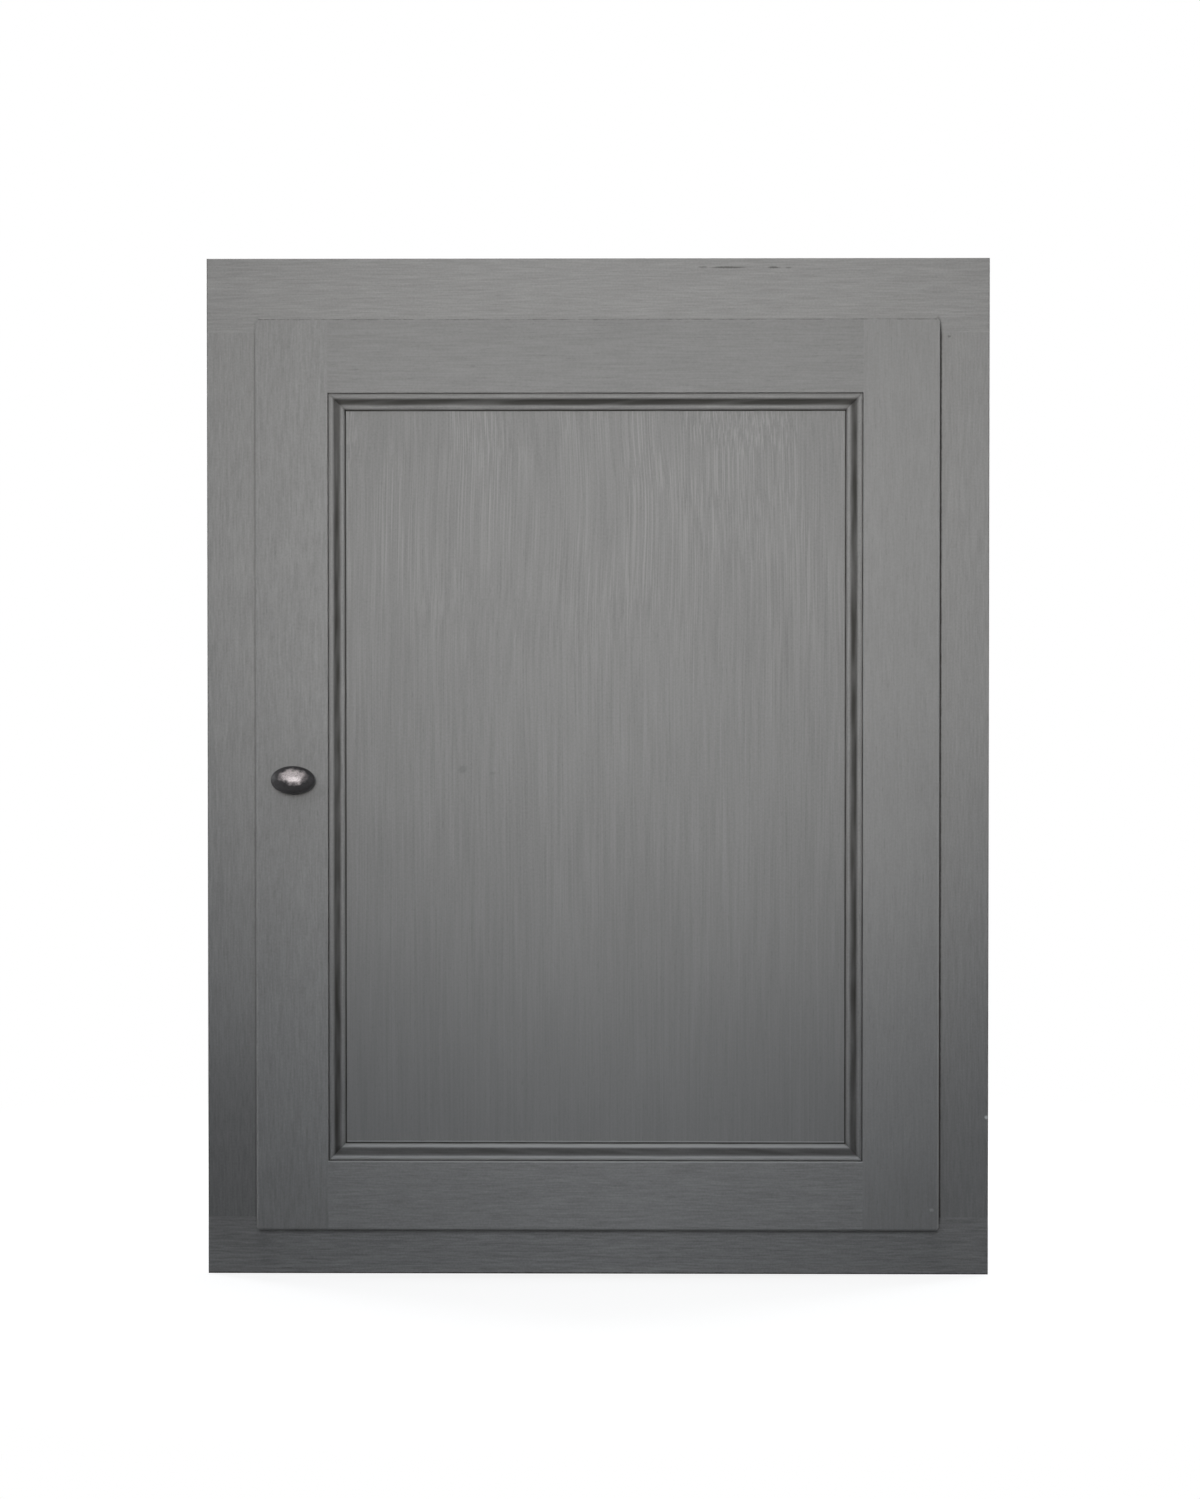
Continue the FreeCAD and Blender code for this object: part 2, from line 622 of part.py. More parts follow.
def make_door_stiles():
    panel_run = (f"{OPENING_BOTTOM} - dims.panel_groove", f"{OPENING_TOP} + dims.panel_groove")
    length = f"{DOOR_TOP} - {DOOR_BOTTOM}"
    inner = {
        "lock": lambda deep: (f"{OPENING_LEFT} - ({deep})", OPENING_LEFT),
        "hinge": lambda deep: (OPENING_RIGHT, f"{OPENING_RIGHT} + ({deep})"),
    }
    outer = {"lock": ("left", DOOR_LEFT, DOOR_BOTTOM), "hinge": ("right", DOOR_RIGHT, DOOR_TOP)}
    for stile, (side, x, z) in outer.items():
        blank = eased_member(
            f"{stile}_stile",
            side,
            (x, DOOR_FRONT, z),
            (f"dims.{stile}_stile_width", "dims.door_thick", length),
            "dims.door_ease",
            ends_too=True,
            back_too=True,
            corner="dims.door_corner",
        )
        tools = [box(f"{stile}_stile_groove", inner[stile]("dims.panel_groove"), groove_span(), panel_run)]
        for rail in ("top", "bottom"):
            deep = inner[stile]("dims.door_tenon_length + dims.tenon_end_gap")
            tools.append(box(f"{stile}_stile_mortise_{rail}", deep, groove_span(), tenon_heights(rail)))
        tools += lock_stile_bores() if stile == "lock" else hinge_stile_bores()
        keep(cut(f"{stile}_stile_worked", blank, tools), f"door_stile_{stile}")


def lock_stile_bores():
    """Holes in the lock stile: the knob's screw right through, the strike's screw from behind."""
    through = ("dims.knob_hole_radius", "dims.door_thick")
    strike_start = (CATCH_X, f"{DOOR_BACK} - dims.screw_length", "dims.catch_height")
    return [
        rod("knob_hole", "y", (KNOB_X, DOOR_FRONT, "dims.knob_height"), *through),
        rod("strike_hole", "y", strike_start, "dims.strike_screw_radius", "dims.screw_length"),
    ]


def hinge_stile_bores():
    """Blind bores and screw holes in the back of the hinge stile."""
    bores = []
    for hinge, height in HINGES.items():
        start = (CUP_X, f"{DOOR_BACK} - dims.cup_depth", height)
        bores.append(rod(f"{hinge}_cup_bore", "y", start, "dims.cup_radius", "dims.cup_depth"))
        for number, seat in enumerate(cup_screw_places(height)):
            bores.append(screw_hole(f"{hinge}_cup_screw_hole_{number}", "y", seat, -1))
    return bores


def make_door_rails():
    rails = {
        "top": ("dims.door_top_width", (OPENING_TOP, f"{OPENING_TOP} + dims.panel_groove")),
        "bottom": ("dims.door_bottom_width", (f"{OPENING_BOTTOM} - dims.panel_groove", OPENING_BOTTOM)),
    }
    across = (OPENING_LEFT, OPENING_RIGHT)
    corners = {
        "top": (OPENING_LEFT, DOOR_FRONT, DOOR_TOP),
        "bottom": (OPENING_RIGHT, DOOR_FRONT, DOOR_BOTTOM),
    }
    for rail, (width, groove) in rails.items():
        size = (width, "dims.door_thick", f"{OPENING_RIGHT} - {OPENING_LEFT}")
        blank = eased_member(f"{rail}_rail", rail, corners[rail], size, "dims.door_ease", back_too=True)
        grooved = cut(
            f"{rail}_rail_grooved", blank, [box(f"{rail}_rail_groove", across, groove_span(), groove)]
        )
        tenon_thick = (PANEL_FRONT, PANEL_BACK)
        near = (f"{OPENING_LEFT} - dims.door_tenon_length", OPENING_LEFT)
        far = (OPENING_RIGHT, f"{OPENING_RIGHT} + dims.door_tenon_length")
        tenons = [
            box(f"{rail}_rail_tenon_left", near, tenon_thick, tenon_heights(rail)),
            box(f"{rail}_rail_tenon_right", far, tenon_thick, tenon_heights(rail)),
        ]
        keep(fuse(f"{rail}_rail_tenoned", [grooved, *tenons]), f"door_rail_{rail}")


def make_panel():
    grip = "(dims.panel_groove - dims.panel_play)"
    across = (f"{OPENING_LEFT} - {grip}", f"{OPENING_RIGHT} + {grip}")
    upright = (f"{OPENING_BOTTOM} - {grip}", f"{OPENING_TOP} + {grip}")
    keep(box("panel", across, (PANEL_FRONT, PANEL_BACK), upright), "door_panel")


def bow_radius(start, end, rise):
    """Radius of an arc between two points that bows so far from the straight line between them."""
    across = f"({end[0]} - ({start[0]}))"
    upward = f"({end[1]} - ({start[1]}))"
    return f"(({across} ^ 2 + {upward} ^ 2) / (8 * {rise}) + {rise} / 2)"


def make_mouldings():
    """Four planted mouldings with a bead, a hollow and a smaller bead, mitred at the corners. Locally
    X runs along the piece, Y from the frame to the panel's middle and Z out of the panel."""
    foot = ("dims.moulding_width", "dims.bead_foot")
    bead_end = ("dims.moulding_width - dims.bead_width", "dims.bead_edge")
    crown_end = ("dims.crown_width", "dims.crown_edge")
    wall = ("0", "dims.moulding_back")
    section = [
        ("0", "0"),
        ("dims.moulding_width", "0"),
        (*foot, bow_radius(foot, bead_end, "dims.bead_rise"), 1),
        (*bead_end, bow_radius(bead_end, crown_end, "dims.hollow_sink"), -1),
        (*crown_end, bow_radius(crown_end, wall, "dims.crown_rise"), 1),
        wall,
    ]
    wide = f"({OPENING_RIGHT} - {OPENING_LEFT})"
    tall = f"({OPENING_TOP} - {OPENING_BOTTOM})"
    sides = {
        "top": (wide, OPENING_RIGHT, OPENING_TOP, -RIGHT),
        "left": (tall, OPENING_LEFT, OPENING_TOP, -UP),
        "bottom": (wide, OPENING_LEFT, OPENING_BOTTOM, RIGHT),
        "right": (tall, OPENING_RIGHT, OPENING_BOTTOM, UP),
    }
    for side, (length, x, z, along) in sides.items():
        body = doc.addObject("PartDesign::Body", f"moulding_{side}")
        strip = pad(body, outline(body, f"moulding_{side}_section", "YZ_Plane", section), length)
        width = "dims.moulding_width"
        mitres = {
            "start": [("0", "0"), (width, width), ("0", width)],
            "end": [(length, "0"), (length, width), (f"{length} - {width}", width)],
        }
        for end, corners in mitres.items():
            pocket = body.newObject("PartDesign::Pocket", f"moulding_{side}_mitre_{end}")
            pocket.Profile = outline(body, f"moulding_{side}_{end}_corner", "XY_Plane", corners)
            pocket.Type = "ThroughAll"
            pocket.SideType = "Symmetric"
        turn = FreeCAD.Rotation(along, (-BACKWARD).cross(along), -BACKWARD)
        place(body, x, PANEL_FRONT, z, turn)
        keep(body, f"panel_moulding_{side}")


def make_knob():
    """Oval knob, turned about its long axis, on a turned stem, with its screw from behind.
    Locally Z runs out of the door."""
    out_turn = FreeCAD.Rotation(RIGHT, 90)
    head_middle = "(dims.knob_projection - dims.knob_tall / 2)"
    stem = doc.addObject("PartDesign::Body", "knob_stem")
    section = [
        ("0", "0"),
        ("dims.knob_foot_radius", "0"),
        ("dims.knob_foot_radius", "dims.knob_foot_edge", "dims.knob_hollow_radius", -1),
        ("dims.knob_neck_radius", "dims.knob_neck_height"),
        ("dims.knob_neck_radius", head_middle),
        ("0", head_middle),
    ]
    revolve(stem, outline(stem, "knob_stem_section", "XZ_Plane", section), "V_Axis")
    place(stem, KNOB_X, DOOR_FRONT, "dims.knob_height", out_turn)
    head = doc.addObject("PartDesign::Body", "knob_head")
    end, half_tall = "dims.knob_end_radius", "(dims.knob_tall / 2)"
    end_middle = f"(dims.knob_width / 2 - {end})"
    belly = f"(({end_middle} ^ 2 + {half_tall} ^ 2 - {end} ^ 2) / (2 * ({half_tall} - {end})))"
    meet_x = f"({end_middle} * (1 + {end} / ({belly} - {end})))"
    meet_y = f"(({belly} - {half_tall}) * {end} / ({belly} - {end}))"
    oval = [
        ("-dims.knob_width / 2", "0", end, -1),
        (f"-{meet_x}", meet_y, belly, -1),
        (meet_x, meet_y, end, -1),
        ("dims.knob_width / 2", "0"),
    ]
    revolve(head, outline(head, "knob_head_section", "XY_Plane", oval), "H_Axis")
    place(head, KNOB_X, f"{DOOR_FRONT} - {head_middle}", "dims.knob_height", out_turn)
    grip_start = (KNOB_X, f"{DOOR_FRONT} - dims.knob_screw_grip", "dims.knob_height")
    socket = rod("knob_socket", "y", grip_start, "dims.knob_screw_radius", "dims.knob_screw_grip")
    keep(cut("oval_knob", fuse("knob_solid", [stem, head]), [socket]), "knob")
    shank_length = "dims.knob_screw_grip + dims.door_thick"
    shank = rod("knob_screw_shank", "y", grip_start, "dims.knob_screw_radius", shank_length)
    head_start = (KNOB_X, DOOR_BACK, "dims.knob_height")
    flat = rod("knob_screw_head", "y", head_start, "dims.pan_head_radius", "dims.pan_head_height")
    keep(fuse("knob_fixing", [shank, flat]), "knob_screw")


# Hinges: a cup in the door, an arm on the frame's edge, one pin
def cup_screw_places(height):
    """Seats of a cup's two screws, on its ears."""
    x = f"{CUP_X} - dims.ear_offset"
    y = f"{DOOR_BACK} + dims.flange_thick"
    return [(x, y, f"{height} + ({sign} * dims.ear_reach)") for sign in (-1, 1)]


def plate_screw_places():
    """Seats of the arms' screws, on the inner edge of the right frame stile."""
    y = f"{FRAME_FRONT} + dims.frame_thick / 2"
    return [
        (f"{FRAME_INNER} - dims.arm_thick", y, f"{height} + ({sign} * dims.plate_screw_reach)")
        for height in HINGES.values()
        for sign in (-1, 1)
    ]


def catch_screw_places():
    """Seats of the catch's screws, on the inner edge of the left frame stile."""
    y = f"{CATCH_FRONT} + dims.catch_depth / 2"
    return [
        (f"-{FRAME_INNER} + dims.catch_ear_thick", y, f"dims.catch_height + ({sign} * dims.catch_ear_reach)")
        for sign in (-1, 1)
    ]


def make_cup(hinge, height):
    """Drawn steel cup with a narrow lip and two screw ears. Locally Z runs out of the back of the door."""
    shell = doc.addObject("PartDesign::Body", f"{hinge}_cup_shell")
    inner = "(dims.cup_radius - dims.cup_wall)"
    section = [
        ("0", "-dims.cup_depth"),
        ("dims.cup_radius - dims.cup_bevel", "-dims.cup_depth"),
        ("dims.cup_radius", "-dims.cup_depth + dims.cup_bevel"),
        ("dims.cup_radius", "0"),
        ("dims.cup_radius + dims.cup_lip", "0"),
        ("dims.cup_radius + dims.cup_lip", "dims.flange_thick"),
        (inner, "dims.flange_thick"),
        (inner, "-dims.cup_depth + dims.cup_wall + dims.cup_bevel"),
        (f"{inner} - dims.cup_bevel", "-dims.cup_depth + dims.cup_wall"),
        ("0", "-dims.cup_depth + dims.cup_wall"),
    ]
    revolve(shell, outline(shell, f"{hinge}_cup_section", "XZ_Plane", section), "V_Axis")
    place(shell, CUP_X, DOOR_BACK, height, AXIS_TURN["y"])
    seats = cup_screw_places(height)
    strap = box(
        f"{hinge}_ear_strap",
        about(f"({CUP_X} - dims.ear_offset)", "2 * dims.ear_radius"),
        (DOOR_BACK, f"{DOOR_BACK} + dims.flange_thick"),
        about(height, "2 * dims.ear_reach"),
    )
    ends = [
        rod(f"{hinge}_ear_{number}", "y", (x, DOOR_BACK, z), "dims.ear_radius", "dims.flange_thick")
        for number, (x, y, z) in enumerate(seats)
    ]
    mouth = rod(f"{hinge}_cup_mouth", "y", (CUP_X, DOOR_BACK, height), inner, "dims.flange_thick")
    ears = cut(f"{hinge}_ears", fuse(f"{hinge}_ear_plate", [strap, *ends]), [mouth])
    holes = [
        screw_hole(f"{hinge}_ear_hole_{number}", "y", seat, -1) for number, seat in enumerate(seats)
    ]
    holes.append(pin_rod(f"{hinge}_pin_seat", height))
    whole = fuse(f"{hinge}_cup_whole", [shell, ears, make_cheeks(hinge, height)])
    keep(cut(f"{hinge}_hinge_cup", whole, holes), f"hinge_cup_{hinge}")


PIN_HALF = (
    f"(sqrt(dims.cup_radius ^ 2 - ({PIN_X} - {CUP_X} + dims.pin_radius) ^ 2) - dims.pin_end_gap)"
)


def pin_rod(name, height):
    """The hinge pin, with its ends in the cup."""
    return rod(name, "z", (PIN_X, PIN_Y, f"{height} - {PIN_HALF}"), "dims.pin_radius", f"2 * {PIN_HALF}")


def make_cheeks(hinge, height):
    """Two cheeks in the cup that carry the pin, one at each side of the arm."""
    cover = "(dims.pin_radius + dims.cheek_cover)"
    near = "(dims.arm_width / 2 + dims.cheek_gap)"
    upright = (f"{DOOR_BACK} - dims.cup_depth + dims.cup_wall / 2", f"{PIN_Y} + {cover}")
    blocks = [
        box(
            f"{hinge}_cheek_{number}",
            about(PIN_X, f"2 * {cover}"),
            upright,
            about(f"({height} + {sign} * ({near} + {PIN_HALF}) / 2)", f"{PIN_HALF} - {near}"),
        )
        for number, sign in enumerate((-1, 1))
    ]
    start = (CUP_X, f"{DOOR_BACK} - dims.cup_depth", height)
    room = "dims.cup_radius - dims.cup_wall / 2"
    bound = rod(f"{hinge}_cheek_bound", "y", start, room, "dims.cup_depth")
    trimmed = doc.addObject("Part::Common", f"{hinge}_cheeks")
    trimmed.Base = group(f"{hinge}_cheek_pair", blocks)
    trimmed.Tool = bound
    return trimmed


def make_arm(hinge, height):
    """Bent strip from the pin's eye, out of the cup and along the edge of the frame to a tab behind it.
    The local origin is on the pin."""
    reach = f"({PIN_X} - {FRAME_INNER})"
    front = "(dims.pin_depth + dims.door_gap)"
    back = f"({front} + dims.frame_thick)"
    low = "(-dims.arm_drop - dims.arm_thick)"
    turn_y = "(-dims.arm_drop + dims.arm_bend)"
    turn_x = f"(-{reach} + dims.arm_bend)"
    strip = [
        ("0", low),
        ("0", "-dims.arm_drop"),
        (turn_x, "-dims.arm_drop", "dims.arm_bend", -1),
        (f"-{reach}", turn_y),
        (f"-{reach}", back),
        (f"-{reach} + dims.arm_tab", back),
        (f"-{reach} + dims.arm_tab", f"{back} + dims.arm_thick"),
        (f"-{reach}", f"{back} + dims.arm_thick", "dims.arm_thick", 1),
        (f"-{reach} - dims.arm_thick", back),
        (f"-{reach} - dims.arm_thick", turn_y, "dims.arm_bend + dims.arm_thick", 1),
        (turn_x, low),
    ]
    arm = doc.addObject("PartDesign::Body", f"{hinge}_arm")
    pad(arm, outline(arm, f"{hinge}_arm_strip", "XY_Plane", strip), "dims.arm_width", symmetric=True)
    near, far = f"{front} + dims.plate_inset", f"{back} - dims.plate_inset"
    top, corner = "(dims.plate_height / 2)", "dims.plate_corner"
    plate = [
        (f"{near} + {corner}", f"-{top}"),
        (f"{far} - {corner}", f"-{top}", corner, 1),
        (far, f"-{top} + {corner}"),
        (far, f"{top} - {corner}", corner, 1),
        (f"{far} - {corner}", top),
        (f"{near} + {corner}", top, corner, 1),
        (near, f"{top} - {corner}"),
        (near, f"-{top} + {corner}", corner, 1),
    ]
    plate_sketch = outline(arm, f"{hinge}_arm_plate", "YZ_Plane", plate, f"-{reach} - dims.arm_thick")
    pad(arm, plate_sketch, "dims.arm_thick")
    place(arm, PIN_X, PIN_Y, height)
    eye_bore = "(dims.pin_radius + dims.pin_clearance)"
    eye_start = (PIN_X, PIN_Y, f"{height} - dims.arm_width / 2")
    eye = rod(f"{hinge}_eye", "z", eye_start, f"{eye_bore} + dims.eye_wall", "dims.arm_width")
    tools = [rod(f"{hinge}_eye_bore", "z", eye_start, eye_bore, "dims.arm_width")]
    for number, seat in enumerate(plate_screw_places()):
        if height in seat[2]:
            tools.append(screw_hole(f"{hinge}_plate_hole_{number}", "x", seat, 1))
    keep(cut(f"{hinge}_hinge_arm", fuse(f"{hinge}_arm_eyed", [arm, eye]), tools), f"hinge_arm_{hinge}")


def make_hinges():
    cup_screws = []
    for hinge, height in HINGES.items():
        make_cup(hinge, height)
        make_arm(hinge, height)
        keep(pin_rod(f"{hinge}_hinge_pin", height), f"hinge_pin_{hinge}")
        for number, seat in enumerate(cup_screw_places(height)):
            cup_screws.append(pan_screw(f"{hinge}_cup_screw_{number}", "y", seat, -1))
    keep(group("cup_screws", cup_screws), "hinge_cup_screws")
    arm_screws = [
        pan_screw(f"arm_screw_{number}", "x", seat, 1) for number, seat in enumerate(plate_screw_places())
    ]
    keep(group("arm_screws", arm_screws), "hinge_arm_screws")


# Magnetic catch on the frame, its strike on the door, felt pads between the two
def make_catch():
    edge = f"-{FRAME_INNER}"
    deep = (CATCH_FRONT, f"{CATCH_FRONT} + dims.catch_depth")
    tall = about("dims.catch_height", "dims.catch_tall")
    eared = about("dims.catch_height", "dims.catch_ear_tall")
    case = box("catch_block", (edge, f"{edge} + dims.catch_width"), deep, tall)
    ears = box("catch_ears", (edge, f"{edge} + dims.catch_ear_thick"), deep, eared)
    sandwich = "(dims.magnet_thick + 2 * dims.pole_thick)"
    pole_back = f"{CATCH_FRONT} + dims.pole_depth"
    pole_tall = about("dims.catch_height", "dims.pole_tall")
    slot = box("catch_slot", about(CATCH_X, sandwich), (CATCH_FRONT, pole_back), pole_tall)
    holes = [
        screw_hole(f"catch_ear_hole_{number}", "x", seat, -1)
        for number, seat in enumerate(catch_screw_places())
    ]
    keep(cut("catch_case", fuse("catch_solid", [case, ears]), [slot, *holes]), "catch_case")
    pole_front = f"{DOOR_BACK} + dims.strike_thick + dims.catch_air"
    poles = []
    for sign, side in ((-1, "left"), (1, "right")):
        middle = f"({CATCH_X} + {sign} * (dims.magnet_thick + dims.pole_thick) / 2)"
        across = about(middle, "dims.pole_thick")
        poles.append(box(f"catch_pole_{side}", across, (pole_front, pole_back), pole_tall))
    keep(group("catch_poles", poles), "catch_pole_plates")
    magnet_run = (f"{pole_front} + dims.magnet_sink", pole_back)
    keep(box("magnet", about(CATCH_X, "dims.magnet_thick"), magnet_run, pole_tall), "catch_magnet")
    screws = [
        pan_screw(f"catch_screw_{number}", "x", seat, -1) for number, seat in enumerate(catch_screw_places())
    ]
    keep(group("catch_screw_pair", screws), "catch_screws")


def make_strike():
    """Steel plate on the back of the door, held by one screw that lies flush in it."""
    plate = box(
        "strike_blank",
        about(CATCH_X, "dims.strike_width"),
        (DOOR_BACK, f"{DOOR_BACK} + dims.strike_thick"),
        about("dims.catch_height", "dims.strike_tall"),
    )

    def countersunk(name):
        cone = doc.addObject("Part::Cone", name)
        cone.setExpression("Radius1", "dims.strike_screw_radius")
        cone.setExpression("Radius2", "dims.strike_head_radius")
        cone.setExpression("Height", "dims.strike_thick")
        return place(cone, CATCH_X, DOOR_BACK, "dims.catch_height", AXIS_TURN["y"])

    keep(cut("strike", plate, [countersunk("strike_countersink")]), "strike_plate")
    start = (CATCH_X, f"{DOOR_BACK} - dims.screw_length", "dims.catch_height")
    shank = rod("strike_screw_shank", "y", start, "dims.strike_screw_radius", "dims.screw_length")
    keep(fuse("strike_fixing", [countersunk("strike_screw_head"), shank]), "strike_screw")


def make_bumpers():
    x = f"-({FRAME_INNER} + ({DOOR_RIGHT} - {FRAME_INNER}) / 2)"
    heights = (f"{DOOR_BOTTOM} + dims.bumper_inset", f"{DOOR_TOP} - dims.bumper_inset")
    thick = "dims.door_gap - dims.bumper_air"
    pads = [
        rod(f"bumper_{number}", "y", (x, DOOR_BACK, z), "dims.bumper_radius", thick)
        for number, z in enumerate(heights)
    ]
    keep(group("bumpers", pads), "door_bumpers")


def check_all():
    """Stops the script if any object failed, or a piece is empty or broken."""
    failed = [thing.Name for thing in doc.Objects if {"Invalid", "Error"} & set(thing.State)]
    if failed:
        raise RuntimeError(f"these objects failed to build: {failed}")
    for piece in pieces:
        if piece.Shape.isNull() or not piece.Shape.isValid() or not piece.Shape.Solids:
            raise RuntimeError(f"{piece.Label} is empty or not valid")


def export_all():
    os.makedirs("parts", exist_ok=True)
    for piece in pieces:
        piece.Shape.exportStep(f"parts/{piece.Label}.step")


make_sides()
make_top_and_floor()
make_shelves()
make_hanging_rails()
make_back()
make_face_frame()
make_door_stiles()
make_door_rails()
make_panel()
make_mouldings()
make_knob()
make_hinges()
make_catch()
make_strike()
make_bumpers()
doc.recompute()
check_all()
export_all()
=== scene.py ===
"""A painted single-door wall cupboard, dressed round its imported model.

Metres throughout, in the model's own frame: X to the right, Y into the cupboard, Z up.
The door faces -Y. Colours are linear.
"""

import math
from collections import namedtuple

import bpy
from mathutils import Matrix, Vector, noise


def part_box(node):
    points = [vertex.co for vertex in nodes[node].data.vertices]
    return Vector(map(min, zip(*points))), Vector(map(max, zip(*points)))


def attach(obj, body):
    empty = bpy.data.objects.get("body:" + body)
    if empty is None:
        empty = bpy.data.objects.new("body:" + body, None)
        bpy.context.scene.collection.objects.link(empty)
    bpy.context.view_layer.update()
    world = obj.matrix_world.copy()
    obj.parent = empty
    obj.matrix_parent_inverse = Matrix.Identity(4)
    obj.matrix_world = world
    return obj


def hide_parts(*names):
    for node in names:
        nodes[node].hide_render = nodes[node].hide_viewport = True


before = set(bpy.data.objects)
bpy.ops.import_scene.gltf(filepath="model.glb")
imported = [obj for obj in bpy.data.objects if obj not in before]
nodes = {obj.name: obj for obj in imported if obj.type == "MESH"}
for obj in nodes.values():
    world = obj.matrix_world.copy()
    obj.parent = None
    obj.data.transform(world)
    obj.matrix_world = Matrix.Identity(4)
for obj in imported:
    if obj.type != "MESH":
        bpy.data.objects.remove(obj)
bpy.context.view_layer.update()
MM = 0.001
AXES = {"X": 0, "Y": 1, "Z": 2}

# Colours of paint, wood and dirt, some also used for painted shade and highlights
PAINT = (0.264, 0.2575, 0.2490)
PAINT_LIGHT = (0.395, 0.382, 0.368)
PAINT_DARK = (0.126, 0.123, 0.120)
PAINT_WEAR_AND_SHEEN = (0.480, 0.470, 0.455)
GRIME_AND_SHADE = (0.040, 0.038, 0.034)
EDGE_DIRT_AND_SHADE = (0.036, 0.031, 0.026)
CHIP_WHITE = (0.72, 0.72, 0.70)
PINE_PALE = (0.50, 0.335, 0.185)
PINE_DARK = (0.31, 0.160, 0.066)
PINE_DUSTY = (0.36, 0.285, 0.205)
KNOT = (0.13, 0.055, 0.022)

# Colours of the fittings
PEWTER = (0.033, 0.031, 0.032)
PEWTER_WEAR_AND_SHEEN = (0.45, 0.405, 0.40)
NICKEL = (0.60, 0.58, 0.54)
PIN_STEEL = (0.45, 0.45, 0.46)
PEG_STEEL = (0.55, 0.54, 0.52)
POLE_STEEL = (0.36, 0.36, 0.37)
NAIL_STEEL = (0.23, 0.21, 0.19)
STRIKE_ZINC = (0.58, 0.58, 0.56)
SCREW_ZINC = (0.62, 0.62, 0.60)
BROWN_PLASTIC = (0.085, 0.045, 0.024)
FERRITE = (0.055, 0.055, 0.058)
FELT = (0.135, 0.120, 0.100)

# Places on the front, read from the frame
hinge_low, hinge_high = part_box("door_stile_hinge")
door_front = hinge_low.y
hinge_edge = hinge_high.x
lock_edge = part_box("door_stile_lock")[0].x
frame_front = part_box("frame_stile_right")[0].y
panel_low, panel_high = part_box("door_panel")


# Nodes of a material

MIDDLE = (0.5, 0.5, 0.5)
NOISE_LOW = 0.3
NOISE_HIGH = 0.7
CHIP_FINENESS = 900.0
CHIP_RAGGED = 1.2 * MM
CHIP_RIM = 1.1
CHIP_CORE = 0.4
LINE_FINENESS = 260.0
LINE_RAGGED = 0.7 * MM
LINE_CORE = 0.65

Mark = namedtuple("Mark", "centre reach stain strength")
Line = namedtuple("Line", "letter edge front reach strength stain")


def lengthwise(letter, along, across):
    """A vector with one value along an axis and another across it."""
    values = [across] * 3
    values[AXES[letter]] = along
    return values


class Nodes:
    """A node tree. A value is a number, a vector, a colour or another node's socket."""

    def __init__(self, node_tree):
        self.nodes = node_tree.nodes
        self.links = node_tree.links

    def put(self, socket, value):
        if isinstance(value, bpy.types.NodeSocket):
            self.links.new(value, socket)
        elif socket.type == "RGBA":
            socket.default_value = (*value, 1.0)
        else:
            socket.default_value = value

    def add(self, kind, *values, **settings):
        """A new node with its settings, and its first inputs filled in their order."""
        node = self.nodes.new(kind)
        for key, setting in settings.items():
            setattr(node, key, setting)
        for socket, value in zip(node.inputs, values):
            self.put(socket, value)
        return node


